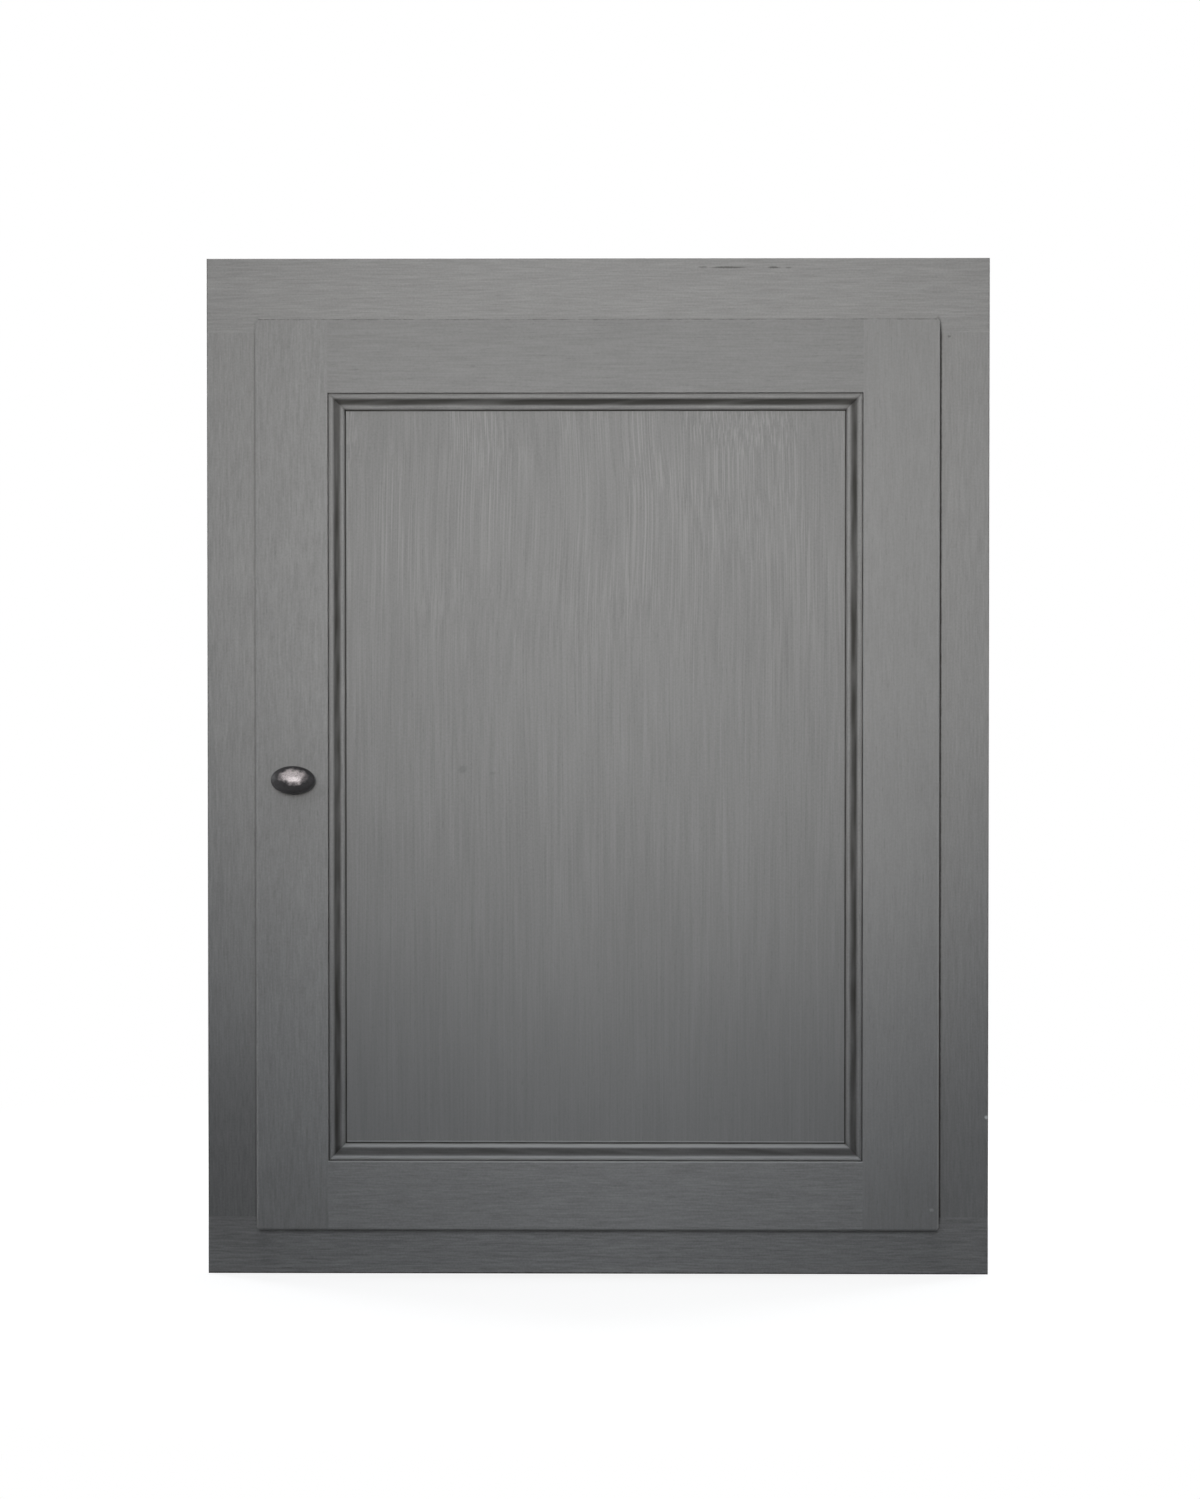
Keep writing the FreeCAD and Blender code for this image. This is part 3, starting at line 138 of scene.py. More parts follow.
class Tree(Nodes):
    """A material's nodes, with short calls for the few kinds used here. A noise's scale is per metre."""

    def __init__(self, name):
        self.material = bpy.data.materials.new(name)
        self.material.use_nodes = True
        super().__init__(self.material.node_tree)
        self.shader = self.nodes["Principled BSDF"]
        self.place = self.add("ShaderNodeTexCoord").outputs["Object"]

    def math(self, operation, *values):
        return self.add("ShaderNodeMath", *values, operation=operation).outputs[0]

    def vector(self, operation, *values):
        node = self.add("ShaderNodeVectorMath", *values, operation=operation)
        return node.outputs["Value" if operation == "LENGTH" else "Vector"]

    def scaled(self, value, amount):
        """A vector or a colour times one number."""
        node = self.add("ShaderNodeVectorMath", value, operation="SCALE")
        self.put(node.inputs["Scale"], amount)
        return node.outputs["Vector"]

    def axis(self, place, letter):
        return self.add("ShaderNodeSeparateXYZ", place).outputs[letter]

    def noise(self, place, scale, detail=2.0, output="Fac"):
        node = self.add("ShaderNodeTexNoise", place)
        node.inputs["Scale"].default_value = scale
        node.inputs["Detail"].default_value = detail
        return node.outputs[output]

    def streaks(self, place, along, width, length, detail=2.0):
        """Noise drawn out along one axis into streaks of about that width and length."""
        stretch = lengthwise(along, 1.0 / length, 1.0 / width)
        return self.noise(self.vector("MULTIPLY", place, stretch), 1.0, detail)

    def drift(self, place, scale, detail=1.0):
        """A vector about zero that turns slowly from place to place."""
        return self.vector("SUBTRACT", self.noise(place, scale, detail, "Color"), MIDDLE)

    def wander(self, place, scale, amount):
        """The place shifted by a drift, so that lines drawn there aren't straight."""
        return self.vector("ADD", place, self.scaled(self.drift(place, scale), amount))

    def ramp(self, value, low, high, at_low=0.0, at_high=1.0):
        """A smooth change from at_low, where the value is low, to at_high, where it is high."""
        values = (value, low, high, at_low, at_high)
        return self.add("ShaderNodeMapRange", *values, interpolation_type="SMOOTHSTEP").outputs[0]

    def between(self, grain, low, high):
        """A number that follows a noise from low to high."""
        return self.ramp(grain, NOISE_LOW, NOISE_HIGH, low, high)

    def mix(self, share, first, second):
        node = self.add("ShaderNodeMix", data_type="RGBA")
        colours = [socket for socket in node.inputs if socket.type == "RGBA"]
        self.put(node.inputs["Factor"], share)
        self.put(colours[0], first)
        self.put(colours[1], second)
        return next(socket for socket in node.outputs if socket.type == "RGBA")

    def sway(self, base, *parts):
        """base plus each noise, taken about its middle, times its weight."""
        total = base
        for value, weight in parts:
            total = self.math("ADD", total, self.math("MULTIPLY_ADD", value, weight, -0.5 * weight))
        return total

    def far_from(self, centre, reach, place):
        """How far a place is from a centre, 1 at the reach along each axis."""
        shaped = self.vector("DIVIDE", self.vector("SUBTRACT", place, centre), reach)
        return self.vector("LENGTH", shaped)

    def mark(self, colour, mark):
        """A ragged chip, dent, scratch, smear or patch of painted shade: reach is its half size along each
        axis.
        """
        ragged = self.wander(self.place, CHIP_FINENESS, CHIP_RAGGED)
        away = self.far_from(mark.centre, mark.reach, ragged)
        return self.mix(self.ramp(away, CHIP_RIM, CHIP_CORE, 0.0, mark.strength), colour, mark.stain)

    def line(self, colour, line):
        """A thin ragged line along an edge that lies at one place on an axis: dirt, painted shade or a
        painted highlight. front is the edge's Y, or None for a line that goes right through the board."""
        ragged = self.wander(self.place, LINE_FINENESS, LINE_RAGGED)
        away = self.math("ABSOLUTE", self.math("SUBTRACT", self.axis(ragged, line.letter), line.edge))
        if line.front is not None:
            behind = self.math("SUBTRACT", self.axis(ragged, "Y"), line.front)
            squares = self.math("ADD", self.math("POWER", away, 2.0), self.math("MULTIPLY", behind, behind))
            away = self.math("SQRT", squares)
        share = self.ramp(away, line.reach, LINE_CORE * line.reach, 0.0, line.strength)
        return self.mix(share, colour, line.stain)

    def bump(self, height, distance, strength):
        node = self.add("ShaderNodeBump")
        node.inputs["Strength"].default_value = strength
        node.inputs["Distance"].default_value = distance
        self.put(node.inputs["Height"], height)
        self.put(self.shader.inputs["Normal"], node.outputs[0])

    def finish(self, colour, roughness, metallic=0.0):
        for name, value in (("Base Color", colour), ("Roughness", roughness), ("Metallic", metallic)):
            self.put(self.shader.inputs[name], value)
        return self.material


# Bare pine. A streak is (width, length).

FIBRES = (0.7 * MM, 50 * MM)
DUST = (12 * MM, 90 * MM)
TRUNK_BEND = 22 * MM
TRUNK_BENDS_ALONG = 1.6
TRUNK_BENDS_ACROSS = 14.0
RINGS = 230.0
YEAR_CHANGES = 60.0
YEAR_SPREAD = 1.6
LATE_SHADE = 0.85
KNOTS_ALONG = 190 * MM
KNOTS_ACROSS = 110 * MM
KNOT_LEAST = 0.72
KNOT_BEND_FINENESS = 60.0
KNOT_BEND = 4 * MM
PINE_CLOUDS = 5.0
PINE_RELIEF = 0.25 * MM
JOINT_REACH = 1.3 * MM
JOINT_DIRT = 0.85


def pine_knots(tree, colour, along, face):
    """A knot in some of the cells that the face falls into, each in a halo of dark wood."""
    spread = lengthwise(along, 1.0 / KNOTS_ALONG, 1.0 / KNOTS_ACROSS)
    spread[AXES[face]] = 1.0
    bent = tree.wander(tree.place, KNOT_BEND_FINENESS, KNOT_BEND)
    cells = tree.add("ShaderNodeTexVoronoi", tree.vector("MULTIPLY", bent, spread))
    cells.inputs["Scale"].default_value = 1.0
    chosen = tree.math("GREATER_THAN", tree.axis(cells.outputs["Color"], "X"), KNOT_LEAST)
    for stain, rim, core, strength in ((PINE_DARK, 0.20, 0.06, 0.45), (KNOT, 0.085, 0.05, 1.0)):
        shown = tree.ramp(cells.outputs["Distance"], rim, core, 0.0, strength)
        colour = tree.mix(tree.math("MULTIPLY", shown, chosen), colour, stain)
    return colour


def pine_wood(tree, along, face, pith, tone=1.0):
    """Colour, fibres and late wood of old pine, sawn so that the rings round a pith line, off to one
    side, show on the face. pith gives that line's place on the two axes across the grain."""
    bends = lengthwise(along, TRUNK_BENDS_ALONG, TRUNK_BENDS_ACROSS)
    drift = tree.drift(tree.vector("MULTIPLY", tree.place, bends), 1.0, 2.0)
    bent = tree.vector("ADD", tree.place, tree.scaled(drift, TRUNK_BEND))
    level = tree.vector("MULTIPLY", bent, lengthwise(along, 0.0, 1.0))
    radius = tree.vector("LENGTH", tree.vector("SUBTRACT", level, pith))
    years = tree.noise(tree.math("MULTIPLY", radius, YEAR_CHANGES), 1.0)
    ring = tree.math("FRACT", tree.sway(tree.math("MULTIPLY", radius, RINGS), (years, YEAR_SPREAD)))
    late = tree.math("MULTIPLY", tree.ramp(ring, 0.30, 0.92), tree.ramp(ring, 1.0, 0.93))
    fibres = tree.streaks(tree.place, along, *FIBRES, 3.0)
    clouds = tree.noise(tree.place, PINE_CLOUDS, 3.0)
    colour = tree.mix(tree.math("MULTIPLY", late, LATE_SHADE), PINE_PALE, PINE_DARK)
    colour = pine_knots(tree, colour, along, face)
    colour = tree.scaled(colour, tree.sway(tone, (fibres, 0.40), (clouds, 0.45)))
    dust = tree.ramp(tree.streaks(tree.place, along, *DUST, 4.0), 0.45, 0.75, 0.0, 0.35)
    return tree.mix(dust, colour, PINE_DUSTY), fibres, late


def pine(name, along, face, pith, tone=1.0, joints=()):
    """Bare pine board. joints are the edges on X where it meets the next board, which hold dirt."""
    tree = Tree(name)
    colour, fibres, late = pine_wood(tree, along, face, pith, tone)
    for edge in joints:
        colour = tree.line(colour, Line("X", edge, None, JOINT_REACH, JOINT_DIRT, EDGE_DIRT_AND_SHADE))
    tree.bump(tree.sway(0.5, (fibres, 0.6), (late, 0.35)), PINE_RELIEF, 0.5)
    return tree.finish(colour, tree.between(fibres, 0.68, 0.54))


# Grey paint brushed over sanded pine. A streak is (width, length).

STROKE = 26 * MM
BRISTLE_WIDTH = 1.3 * MM
BUNDLE_WIDTH = 7.5 * MM
BUNDLE_STROKES = 3.5
GRAIN = (2.4 * MM, 75 * MM)
GRAIN_BENDS = 9.0
GRAIN_BEND = 3 * MM
PORES = (0.8 * MM, 9 * MM)
FILM_FINENESS = 620.0
PAINT_CLOUDS = 7.0
SWEEPS = 4.5
SWEEP = 3 * MM
FANNED_SWEEP = 20 * MM
FAN_START = 0.15
CALM_HEIGHT = 0.25
CALM_SHARE = 0.55
DRY_PATCH = (34 * MM, 150 * MM)
DRY_PATCH_SWEEP = 30 * MM
DRY_LINE_WIDTH = 1.0 * MM
DRY_LINE_STROKES = 2.8
FACE_END = 0.2 * MM
EDGE_START = 1.2 * MM
PAINT_FEATHER = 0.6 * MM
PAINT_RELIEF = 0.30 * MM
PAINT_GLOSS = 0.22


def paint_level(tree, height, tone, soil, front):
    """How light the paint is on its face and, behind front, on its edges."""
    level = tone
    # Painted light and shade that change towards the foot
    if soil:
        low, high, share = soil
        level = tree.ramp(height, low, high, tone * share, tone)
    if front is not None:
        level = tree.ramp(tree.axis(tree.place, "Y"), front + FACE_END, front + EDGE_START, level, 1.0)
    return level


def dry_streaks(tree, colour, swept, along, stroke, share):
    """Pale lines, in patches, where a nearly dry brush left the paint thin."""
    patches = tree.streaks(tree.wander(tree.place, SWEEPS, DRY_PATCH_SWEEP), along, *DRY_PATCH)
    lines = tree.streaks(swept, along, DRY_LINE_WIDTH, DRY_LINE_STROKES * stroke, 1.0)
    scraped = tree.math("MULTIPLY", tree.ramp(patches, 0.36, 0.62), tree.ramp(lines, 0.50, 0.62))
    return tree.mix(tree.math("MULTIPLY", scraped, share), colour, PAINT_LIGHT)


def unpainted(tree, colour, along, limits, face, pith):
    """Bare pine where each axis named in limits is still short of its limit."""
    covered = 0.0
    for letter, limit in limits:
        away = tree.math("ABSOLUTE", tree.axis(tree.place, letter))
        covered = tree.math("MAXIMUM", tree.ramp(away, limit, limit + PAINT_FEATHER), covered)
    return tree.mix(covered, pine_wood(tree, along, face, pith)[0], colour)


def held_shade_and_dirt(tree, colour, bundles):
    """Painted shade and dirt as the mesh's own values say, and a painted highlight on worn paint where they
    are below zero.
    """
    dirt_and_shade = tree.add("ShaderNodeAttribute", attribute_name="shade_and_grime")
    blotched = tree.math("MULTIPLY", dirt_and_shade.outputs["Fac"], tree.ramp(bundles, 0.25, 0.60, 0.85, 1.0))
    colour = tree.mix(tree.ramp(blotched, 0.0, -1.0), colour, PAINT_WEAR_AND_SHEEN)
    return tree.mix(tree.math("MAXIMUM", blotched, 0.0), colour, GRIME_AND_SHADE)


def grey_paint(name, along, stroke=STROKE, contrast=0.42, ribs=0.0, tone=1.0, soil=None, dry=0.0, fan=None,
               marks=(), lines=(), holds_shade_and_grime=False, bare=None, front=None):
    """Grey paint brushed along one axis. stroke is the length of a bristle's line, contrast how much the
    lines show and ribs how much open grain shows through. tone is how light the paint is, and the next
    argument (low, high, share) changes that towards its foot as painted light and shade: both belong to
    the face at front, on Y, and the edges behind it have the plain paint. dry is how much the pale streaks
    of a dry brush show, and fan (low, high) the heights between which they come in and the lines spread.
    bare (limits, face, pith) leaves the board unpainted inside those limits."""
    tree = Tree(name)
    height = tree.axis(tree.place, "Z")
    sweep, share = SWEEP, dry
    if fan:
        sweep = tree.ramp(height, *fan, SWEEP, FANNED_SWEEP)
        share = tree.ramp(height, *fan, FAN_START * dry, dry)
    swept = tree.wander(tree.place, SWEEPS, sweep)
    bristles = tree.streaks(swept, along, BRISTLE_WIDTH, stroke, 3.0)
    bundles = tree.streaks(swept, along, BUNDLE_WIDTH, BUNDLE_STROKES * stroke)
    grain = tree.streaks(tree.wander(tree.place, GRAIN_BENDS, GRAIN_BEND), along, *GRAIN)
    pores = tree.streaks(tree.place, along, *PORES)
    film = tree.noise(tree.place, FILM_FINENESS, 3.0)
    clouds = tree.noise(tree.place, PAINT_CLOUDS, 3.0)
    shade = tree.sway(1.0, (bristles, contrast), (bundles, 0.22 * contrast), (film, 0.10 + 0.5 * contrast),
                      (clouds, 0.10), (grain, ribs))
    if fan:
        calm = tree.ramp(height, fan[0] - CALM_HEIGHT, fan[0], CALM_SHARE, 1.0)
        shade = tree.math("MULTIPLY_ADD", tree.math("SUBTRACT", shade, 1.0), calm, 1.0)
    shade = tree.math("MULTIPLY", shade, paint_level(tree, height, tone, soil, front))
    colour = tree.scaled(PAINT, shade)
    colour = tree.mix(tree.ramp(pores, 0.60, 0.78, 0.0, 0.28), colour, PAINT_DARK)
    if dry:
        colour = dry_streaks(tree, colour, swept, along, stroke, share)
    for mark in marks:
        colour = tree.mark(colour, mark)
    for line in lines:
        colour = tree.line(colour, line)
    if bare:
        colour = unpainted(tree, colour, along, *bare)
    # Painted shade and dirt held by the mesh, for the mouldings
    if holds_shade_and_grime:
        colour = held_shade_and_dirt(tree, colour, bundles)
    relief = tree.sway(0.5, (bristles, 0.7), (grain, 0.3 + 1.5 * ribs), (film, 0.3), (pores, -0.5))
    tree.bump(relief, PAINT_RELIEF, 0.6)
    tree.shader.inputs["Specular IOR Level"].default_value = PAINT_GLOSS
    return tree.finish(colour, tree.between(bristles, 0.82, 0.70))


# Metal, plastic, magnet and felt. A fineness is the scale of a noise, per metre.

CAST_COARSE = 420.0
CAST_FINE = 1500.0
CAST_RELIEF = 0.22 * MM
PATCH_FINENESS = 260.0
PATCH_RAGGED = 6.0 * MM
PATCH_METAL = 0.55
PEWTER_GLOSS = 0.18
DRAW_MARK = (0.18 * MM, 12 * MM)
DRAW_RELIEF = 0.04 * MM
DULL_FINENESS = 160.0
DULL_SPREAD = 0.16
SPARK_FINENESS = 2600.0
SPARK_RELIEF = 0.06 * MM
PLASTIC_CLOUDS = 90.0
SINTER_FINENESS = 1900.0
SINTER_RELIEF = 0.08 * MM
FUZZ_FINENESS = 2400.0
FUZZ_BENDS = 900.0
FUZZ_BEND = 1.5 * MM
CLUMP_FINENESS = 500.0
FELT_RELIEF = 0.3 * MM
FELT_SHEEN = 0.4
FELT_ROUGHNESS = 0.95


def pewter_worn_and_lit(name, centre, reach):
    """Dark cast metal with a bright patch, partly worn by the hand and partly a painted reflection. centre
    and reach place that patch.
    """
    tree = Tree(name)
    coarse = tree.noise(tree.place, CAST_COARSE, 3.0)
    fine = tree.noise(tree.place, CAST_FINE, 3.0)
    away = tree.far_from(centre, reach, tree.wander(tree.place, PATCH_FINENESS, PATCH_RAGGED))
    wear_and_sheen = tree.math("MULTIPLY", tree.ramp(away, 1.10, 0.58), tree.ramp(fine, 0.34, 0.56, 0.45, 1.0))
    dark = tree.scaled(PEWTER, tree.sway(1.0, (coarse, 1.0), (fine, 0.6)))
    tree.bump(tree.sway(0.5, (coarse, 0.8), (fine, 0.5)), CAST_RELIEF, 0.55)
    tree.shader.inputs["Specular IOR Level"].default_value = PEWTER_GLOSS
    colour = tree.mix(wear_and_sheen, dark, PEWTER_WEAR_AND_SHEEN)
    return tree.finish(colour, tree.between(fine, 0.40, 0.54), tree.math("MULTIPLY", wear_and_sheen, PATCH_METAL))


def plated(name, colour, rough, along="Z"):
    """Plated steel with fine draw marks and a little dulling."""
    tree = Tree(name)
    lines = tree.streaks(tree.place, along, *DRAW_MARK)
    dull = tree.noise(tree.place, DULL_FINENESS, 3.0)
    shade = tree.scaled(colour, tree.sway(1.0, (lines, 0.20), (dull, 0.35)))
    tree.bump(lines, DRAW_RELIEF, 0.3)
    return tree.finish(shade, tree.between(dull, rough, rough + DULL_SPREAD), 1.0)


def moulded_plastic(name):
    """Brown moulded plastic with a fine spark-eroded texture."""
    tree = Tree(name)
    grit = tree.noise(tree.place, SPARK_FINENESS)
    clouds = tree.noise(tree.place, PLASTIC_CLOUDS)
    shade = tree.scaled(BROWN_PLASTIC, tree.sway(1.0, (grit, 0.3), (clouds, 0.4)))
    tree.bump(grit, SPARK_RELIEF, 0.5)
    return tree.finish(shade, tree.between(grit, 0.36, 0.52))


def sintered(name):
    """Ferrite magnet, dull and slightly grainy."""
    tree = Tree(name)
    grit = tree.noise(tree.place, SINTER_FINENESS, 3.0)
    shade = tree.scaled(FERRITE, tree.sway(1.0, (grit, 0.9)))
    tree.bump(grit, SINTER_RELIEF, 0.6)
    return tree.finish(shade, tree.ramp(grit, 0.2, 0.8, 0.45, 0.7))


def felt(name):
    """Pressed grey-brown felt with loose fibres."""
    tree = Tree(name)
    fuzz = tree.noise(tree.wander(tree.place, FUZZ_BENDS, FUZZ_BEND), FUZZ_FINENESS, 4.0)
    clumps = tree.noise(tree.place, CLUMP_FINENESS)
    shade = tree.scaled(FELT, tree.sway(1.0, (fuzz, 0.9), (clumps, 0.5)))
    tree.bump(tree.sway(0.5, (fuzz, 0.8), (clumps, 0.5)), FELT_RELIEF, 0.9)
    tree.shader.inputs["Sheen Weight"].default_value = FELT_SHEEN
    return tree.finish(shade, FELT_ROUGHNESS)


# Meshes

TURNED_SIDES = 56


def piece(name, points, faces, material, body):
    """A smooth mesh that moves with a body."""
    mesh = bpy.data.meshes.new(name)
    mesh.from_pydata(points, [], faces)
    mesh.polygons.foreach_set("use_smooth", [True] * len(mesh.polygons))
    mesh.materials.append(material)
    mesh.update()
    made = bpy.data.objects.new(name, mesh)
    bpy.context.scene.collection.objects.link(made)
    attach(made, body)
    return made


def ring(points, centre, across, other, sides):
    """Adds a circle of points and gives their numbers. across and other are two radii, square to each
    other."""
    first = len(points)
    for side in range(sides):
        turn = 2 * math.pi * side / sides
        points.append(centre + across * math.cos(turn) + other * math.sin(turn))
    return range(first, first + sides)


def skin(rings):
    """Faces of a closed tube through rings of point numbers, with both ends shut."""
    faces = []
    sides = len(rings[0])
    for near, far in zip(rings, rings[1:]):
        for side in range(sides):
            after = (side + 1) % sides
            faces.append((near[side], far[side], far[after], near[after]))
    faces.append(tuple(rings[0]))
    faces.append(tuple(reversed(rings[-1])))
    return faces


def turned(points, start, axis, profile):
    """Adds the points of a shape turned about an axis and gives its faces. profile is a list of (radius,
    way along the axis)."""
    across = axis.orthogonal().normalized()
    other = axis.cross(across)
    rings = []
    for radius, way in profile:
        rings.append(ring(points, start + axis * way, across * radius, other * radius, TURNED_SIDES))
    return skin(rings[::-1])


def arc(start, end, radius, turn, steps):
    """Points from start to end on a circle, without the first. turn is 1 where the arc bulges to
    the left of the way along it, -1 to the right."""
    chord = Vector(end) - Vector(start)
    left = Vector((-chord.y, chord.x)).normalized()
    rise = math.sqrt(max(radius ** 2 - (chord.length / 2) ** 2, 0.0))
    middle = (Vector(start) + Vector(end)) / 2 - left * rise * turn
    first = Vector(start) - middle
    angle = -turn * 2 * math.asin(min(1.0, chord.length / 2 / radius))
    points = []
    for step in range(1, steps + 1):
        sweep = angle * step / steps
        cos, sin = math.cos(sweep), math.sin(sweep)
        points.append((middle.x + first.x * cos - first.y * sin, middle.y + first.x * sin + first.y * cos))
    return points


def bow(start, end, rise, turn, steps):
    """The arc between two points that bows so far from the straight line between them."""
    chord = math.dist(start, end)
    return arc(start, end, chord ** 2 / (8 * rise) + rise / 2, turn, steps)


def solids(node):
    """Each separate solid of a node, as a list of its points."""
    mesh = nodes[node].data
    home = {}

    def find(key):
        while home[key] != key:
            home[key] = home[home[key]]
            key = home[key]
        return key

    keys = [tuple(round(number, 6) for number in vertex.co) for vertex in mesh.vertices]
    for key in keys:
        home.setdefault(key, key)
    for polygon in mesh.polygons:
        first = find(keys[polygon.vertices[0]])
        for index in polygon.vertices:
            home[find(keys[index])] = first
    groups = {}
    for key in home:
        groups.setdefault(find(key), []).append(Vector(key))
    return list(groups.values())


def corners(cloud):
    """Lowest and highest corner of a list of points."""
    low = Vector([min(point[axis] for point in cloud) for axis in range(3)])
    high = Vector([max(point[axis] for point in cloud) for axis in range(3)])
    return low, high


# Panel mouldings: an outer bead, a hollow and an inner bead

MOULDING_WIDTH = 13.4 * MM
MOULDING_FOOT = MOULDING_WIDTH + 0.3 * MM
QUIRK = [(0.0, 0.0), (0.0, 3.6 * MM), (0.3 * MM, 3.6 * MM)]
CROWN_START = (0.6 * MM, 4.9 * MM)
CROWN_END = (5.0 * MM, 5.6 * MM)
CROWN_RISE = 0.95 * MM
HOLLOW_END = (9.8 * MM, 4.2 * MM)
HOLLOW_SINK = 0.95 * MM
HOLLOW_MIDDLE = 6.9 * MM
HOLLOW_SPREAD = 2.8 * MM
BEAD_END = (12.6 * MM, 1.6 * MM)
BEAD_RISE = 0.80 * MM
GUTTER = [(12.7 * MM, 0.3 * MM), (MOULDING_FOOT, 0.2 * MM), (MOULDING_FOOT, 0.0)]
ARC_STEPS = 12
STATION = 5.0 * MM
WAVES = 42.0
WAVE = 0.22 * MM
WAVE_SHADE_AND_DIRT = 0.3
WAVE_ROWS = 0.12
WAVE_START = (3.0, 7.0)
RIPPLES = 170.0
RIPPLE = 0.10 * MM
RIPPLE_ROWS = 0.3
RIPPLE_START = (1.0, 5.0)
INWARD_SHARE = 0.8
CALM_ENDS = 6
FIXED_POINTS = 2


def moulding_section(dirt_and_shade, wear_and_sheen):
    """Points (in from the frame, out from the panel, shade and grime) of the moulding's face. The groove at
    its outer edge and the gutter along the panel get full painted shade with dirt, the hollow as much as
    asked, and a value below zero says how far the beads on both sides of it get a painted highlight on
    worn paint."""
    face = [CROWN_START]
    face += bow(CROWN_START, CROWN_END, CROWN_RISE, 1, ARC_STEPS)
    face += bow(CROWN_END, HOLLOW_END, HOLLOW_SINK, -1, ARC_STEPS)
    face += bow(HOLLOW_END, BEAD_END, BEAD_RISE, 1, ARC_STEPS)
    points = [(inset, out, 1.0) for inset, out in QUIRK]
    for inset, out in face:
        depth = math.exp(-((inset - HOLLOW_MIDDLE) / HOLLOW_SPREAD) ** 4)
        points.append((inset, out, dirt_and_shade * depth - wear_and_sheen * (1.0 - depth) ** 4))
    return points + [(inset, out, 1.0) for inset, out in GUTTER]


def uneven(place, row):
    """A slow wave and a quick ripple along one row of the moulding's points, each from -1 to 1."""
    wave_shift = Vector((row * WAVE_ROWS, WAVE_START[0], WAVE_START[1]))
    ripple_shift = Vector((RIPPLE_START[0], row * RIPPLE_ROWS, RIPPLE_START[1]))
    return noise.noise(place * WAVES + wave_shift), noise.noise(place * RIPPLES + ripple_shift)


def moulding(side, start, along, inward, length, material, dirt_and_shade, wear_and_sheen=0.0):
    """One length, mitred at both ends, its edges a little uneven under the paint. The points at both
    feet of its section stay where they are."""
    section = moulding_section(dirt_and_shade, wear_and_sheen)
    forward = Vector((0.0, -1.0, 0.0))
    count = int(length / STATION)
    points, shade_and_grime, rings = [], [], []
    for station in range(count + 1):
        share = station / count
        calm = min(1.0, CALM_ENDS * share, CALM_ENDS * (1 - share))
        rings.append(range(len(points), len(points) + len(section)))
        for row, (inset, out, held) in enumerate(section):
            base = start + along * (inset + share * (length - 2 * inset))
            wave, ripple = uneven(base, row)
            lift = calm * (WAVE * wave + RIPPLE * ripple)
            if not FIXED_POINTS <= row < len(section) - FIXED_POINTS:
                lift = 0.0
            points.append(base + inward * (inset + INWARD_SHARE * lift) + forward * (out + lift))
            shade_and_grime.append(min(1.0, held * (1.0 + WAVE_SHADE_AND_DIRT * wave)))
    made = piece(f"moulding_{side}", points, skin(rings), material, "door")
    layer = made.data.attributes.new("shade_and_grime", "FLOAT", "POINT")
    layer.data.foreach_set("value", shade_and_grime)
    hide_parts(f"panel_moulding_{side}")


def make_mouldings():
    """Four lengths round the panel. The hollow's painted shade and dirt are darkest above, where it faces
    down, and lightest below, where the beads get a painted highlight on worn paint."""
    low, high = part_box("panel_moulding_left")[0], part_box("panel_moulding_right")[1]
    left, right, bottom, top = low.x, high.x, low.z, high.z
    face = high.y
    x, z = Vector((1.0, 0.0, 0.0)), Vector((0.0, 0.0, 1.0))
    level = grey_paint("moulding_paint_level", "X", holds_shade_and_grime=True)
    upright = grey_paint("moulding_paint_upright", "Z", holds_shade_and_grime=True)
    wide, tall = right - left, top - bottom
    # The top length, facing down, gets the most painted shade; the bottom one, facing up, the least, and
    # its beads a painted highlight
    moulding("top", Vector((right, face, top)), -x, -z, wide, level, dirt_and_shade=1.0)
    moulding("left", Vector((left, face, top)), -z, x, tall, upright, dirt_and_shade=0.90)
    moulding("bottom", Vector((left, face, bottom)), x, z, wide, level, dirt_and_shade=0.74, wear_and_sheen=1.2)
    moulding("right", Vector((right, face, bottom)), z, -x, tall, upright, dirt_and_shade=0.90)


# Screws with a cross recess. The recess is in shares of the head's radius and height.

HEAD_RINGS = 9
HEAD_SIDES = 48
HEAD_DOME = 0.85
RECESS_HALF = 0.13
RECESS_REACH = 0.62
RECESS_DEPTH = 0.75
TAPER_START = 0.8
TAPER_WIDTH = 0.93
TIP_WIDTH = 0.10
TIP_SLACK = 0.01 * MM
RIM_WIDTH = 0.95
SHANK_SLACK = 1.02
THIN_RIM = 0.5
SCREW_BODIES = {
    "hinge_cup_screws": "door",
    "hinge_arm_screws": "cabinet",
    "catch_screws": "cabinet",
    "strike_screw": "door",
    "knob_screw": "door",
}


def screw_points(cloud):
    """What a screw's solid says of it: the middle of its head's underside, the way out of the head, the
    radius of head and shank, the head's height, the whole length, and whether the head is countersunk."""
    low, high = corners(cloud)
    size = high - low
    axis = max(range(3), key=lambda number: abs(size[number] - sorted(size)[1]))
    middle = (low + high) / 2
    one, two = [number for number in range(3) if number != axis]

    def radius(point):
        return math.hypot(point[one] - middle[one], point[two] - middle[two])

    widest = max(radius(point) for point in cloud)
    rim = [point[axis] for point in cloud if radius(point) > RIM_WIDTH * widest]
    outward = 1 if sum(rim) / len(rim) > middle[axis] else -1
    top, tip = (high[axis], low[axis]) if outward > 0 else (low[axis], high[axis])
    shank = max(radius(point) for point in cloud if abs(point[axis] - tip) < TIP_SLACK)
    height = min(abs(point[axis] - top) for point in cloud if radius(point) < SHANK_SLACK * shank)
    sunk = max(rim) - min(rim) < THIN_RIM * height
    way = Vector((0.0, 0.0, 0.0))
    way[axis] = outward
    head = middle.copy()
    head[axis] = top - outward * height
    return head, way, widest, shank, height, size[axis], sunk


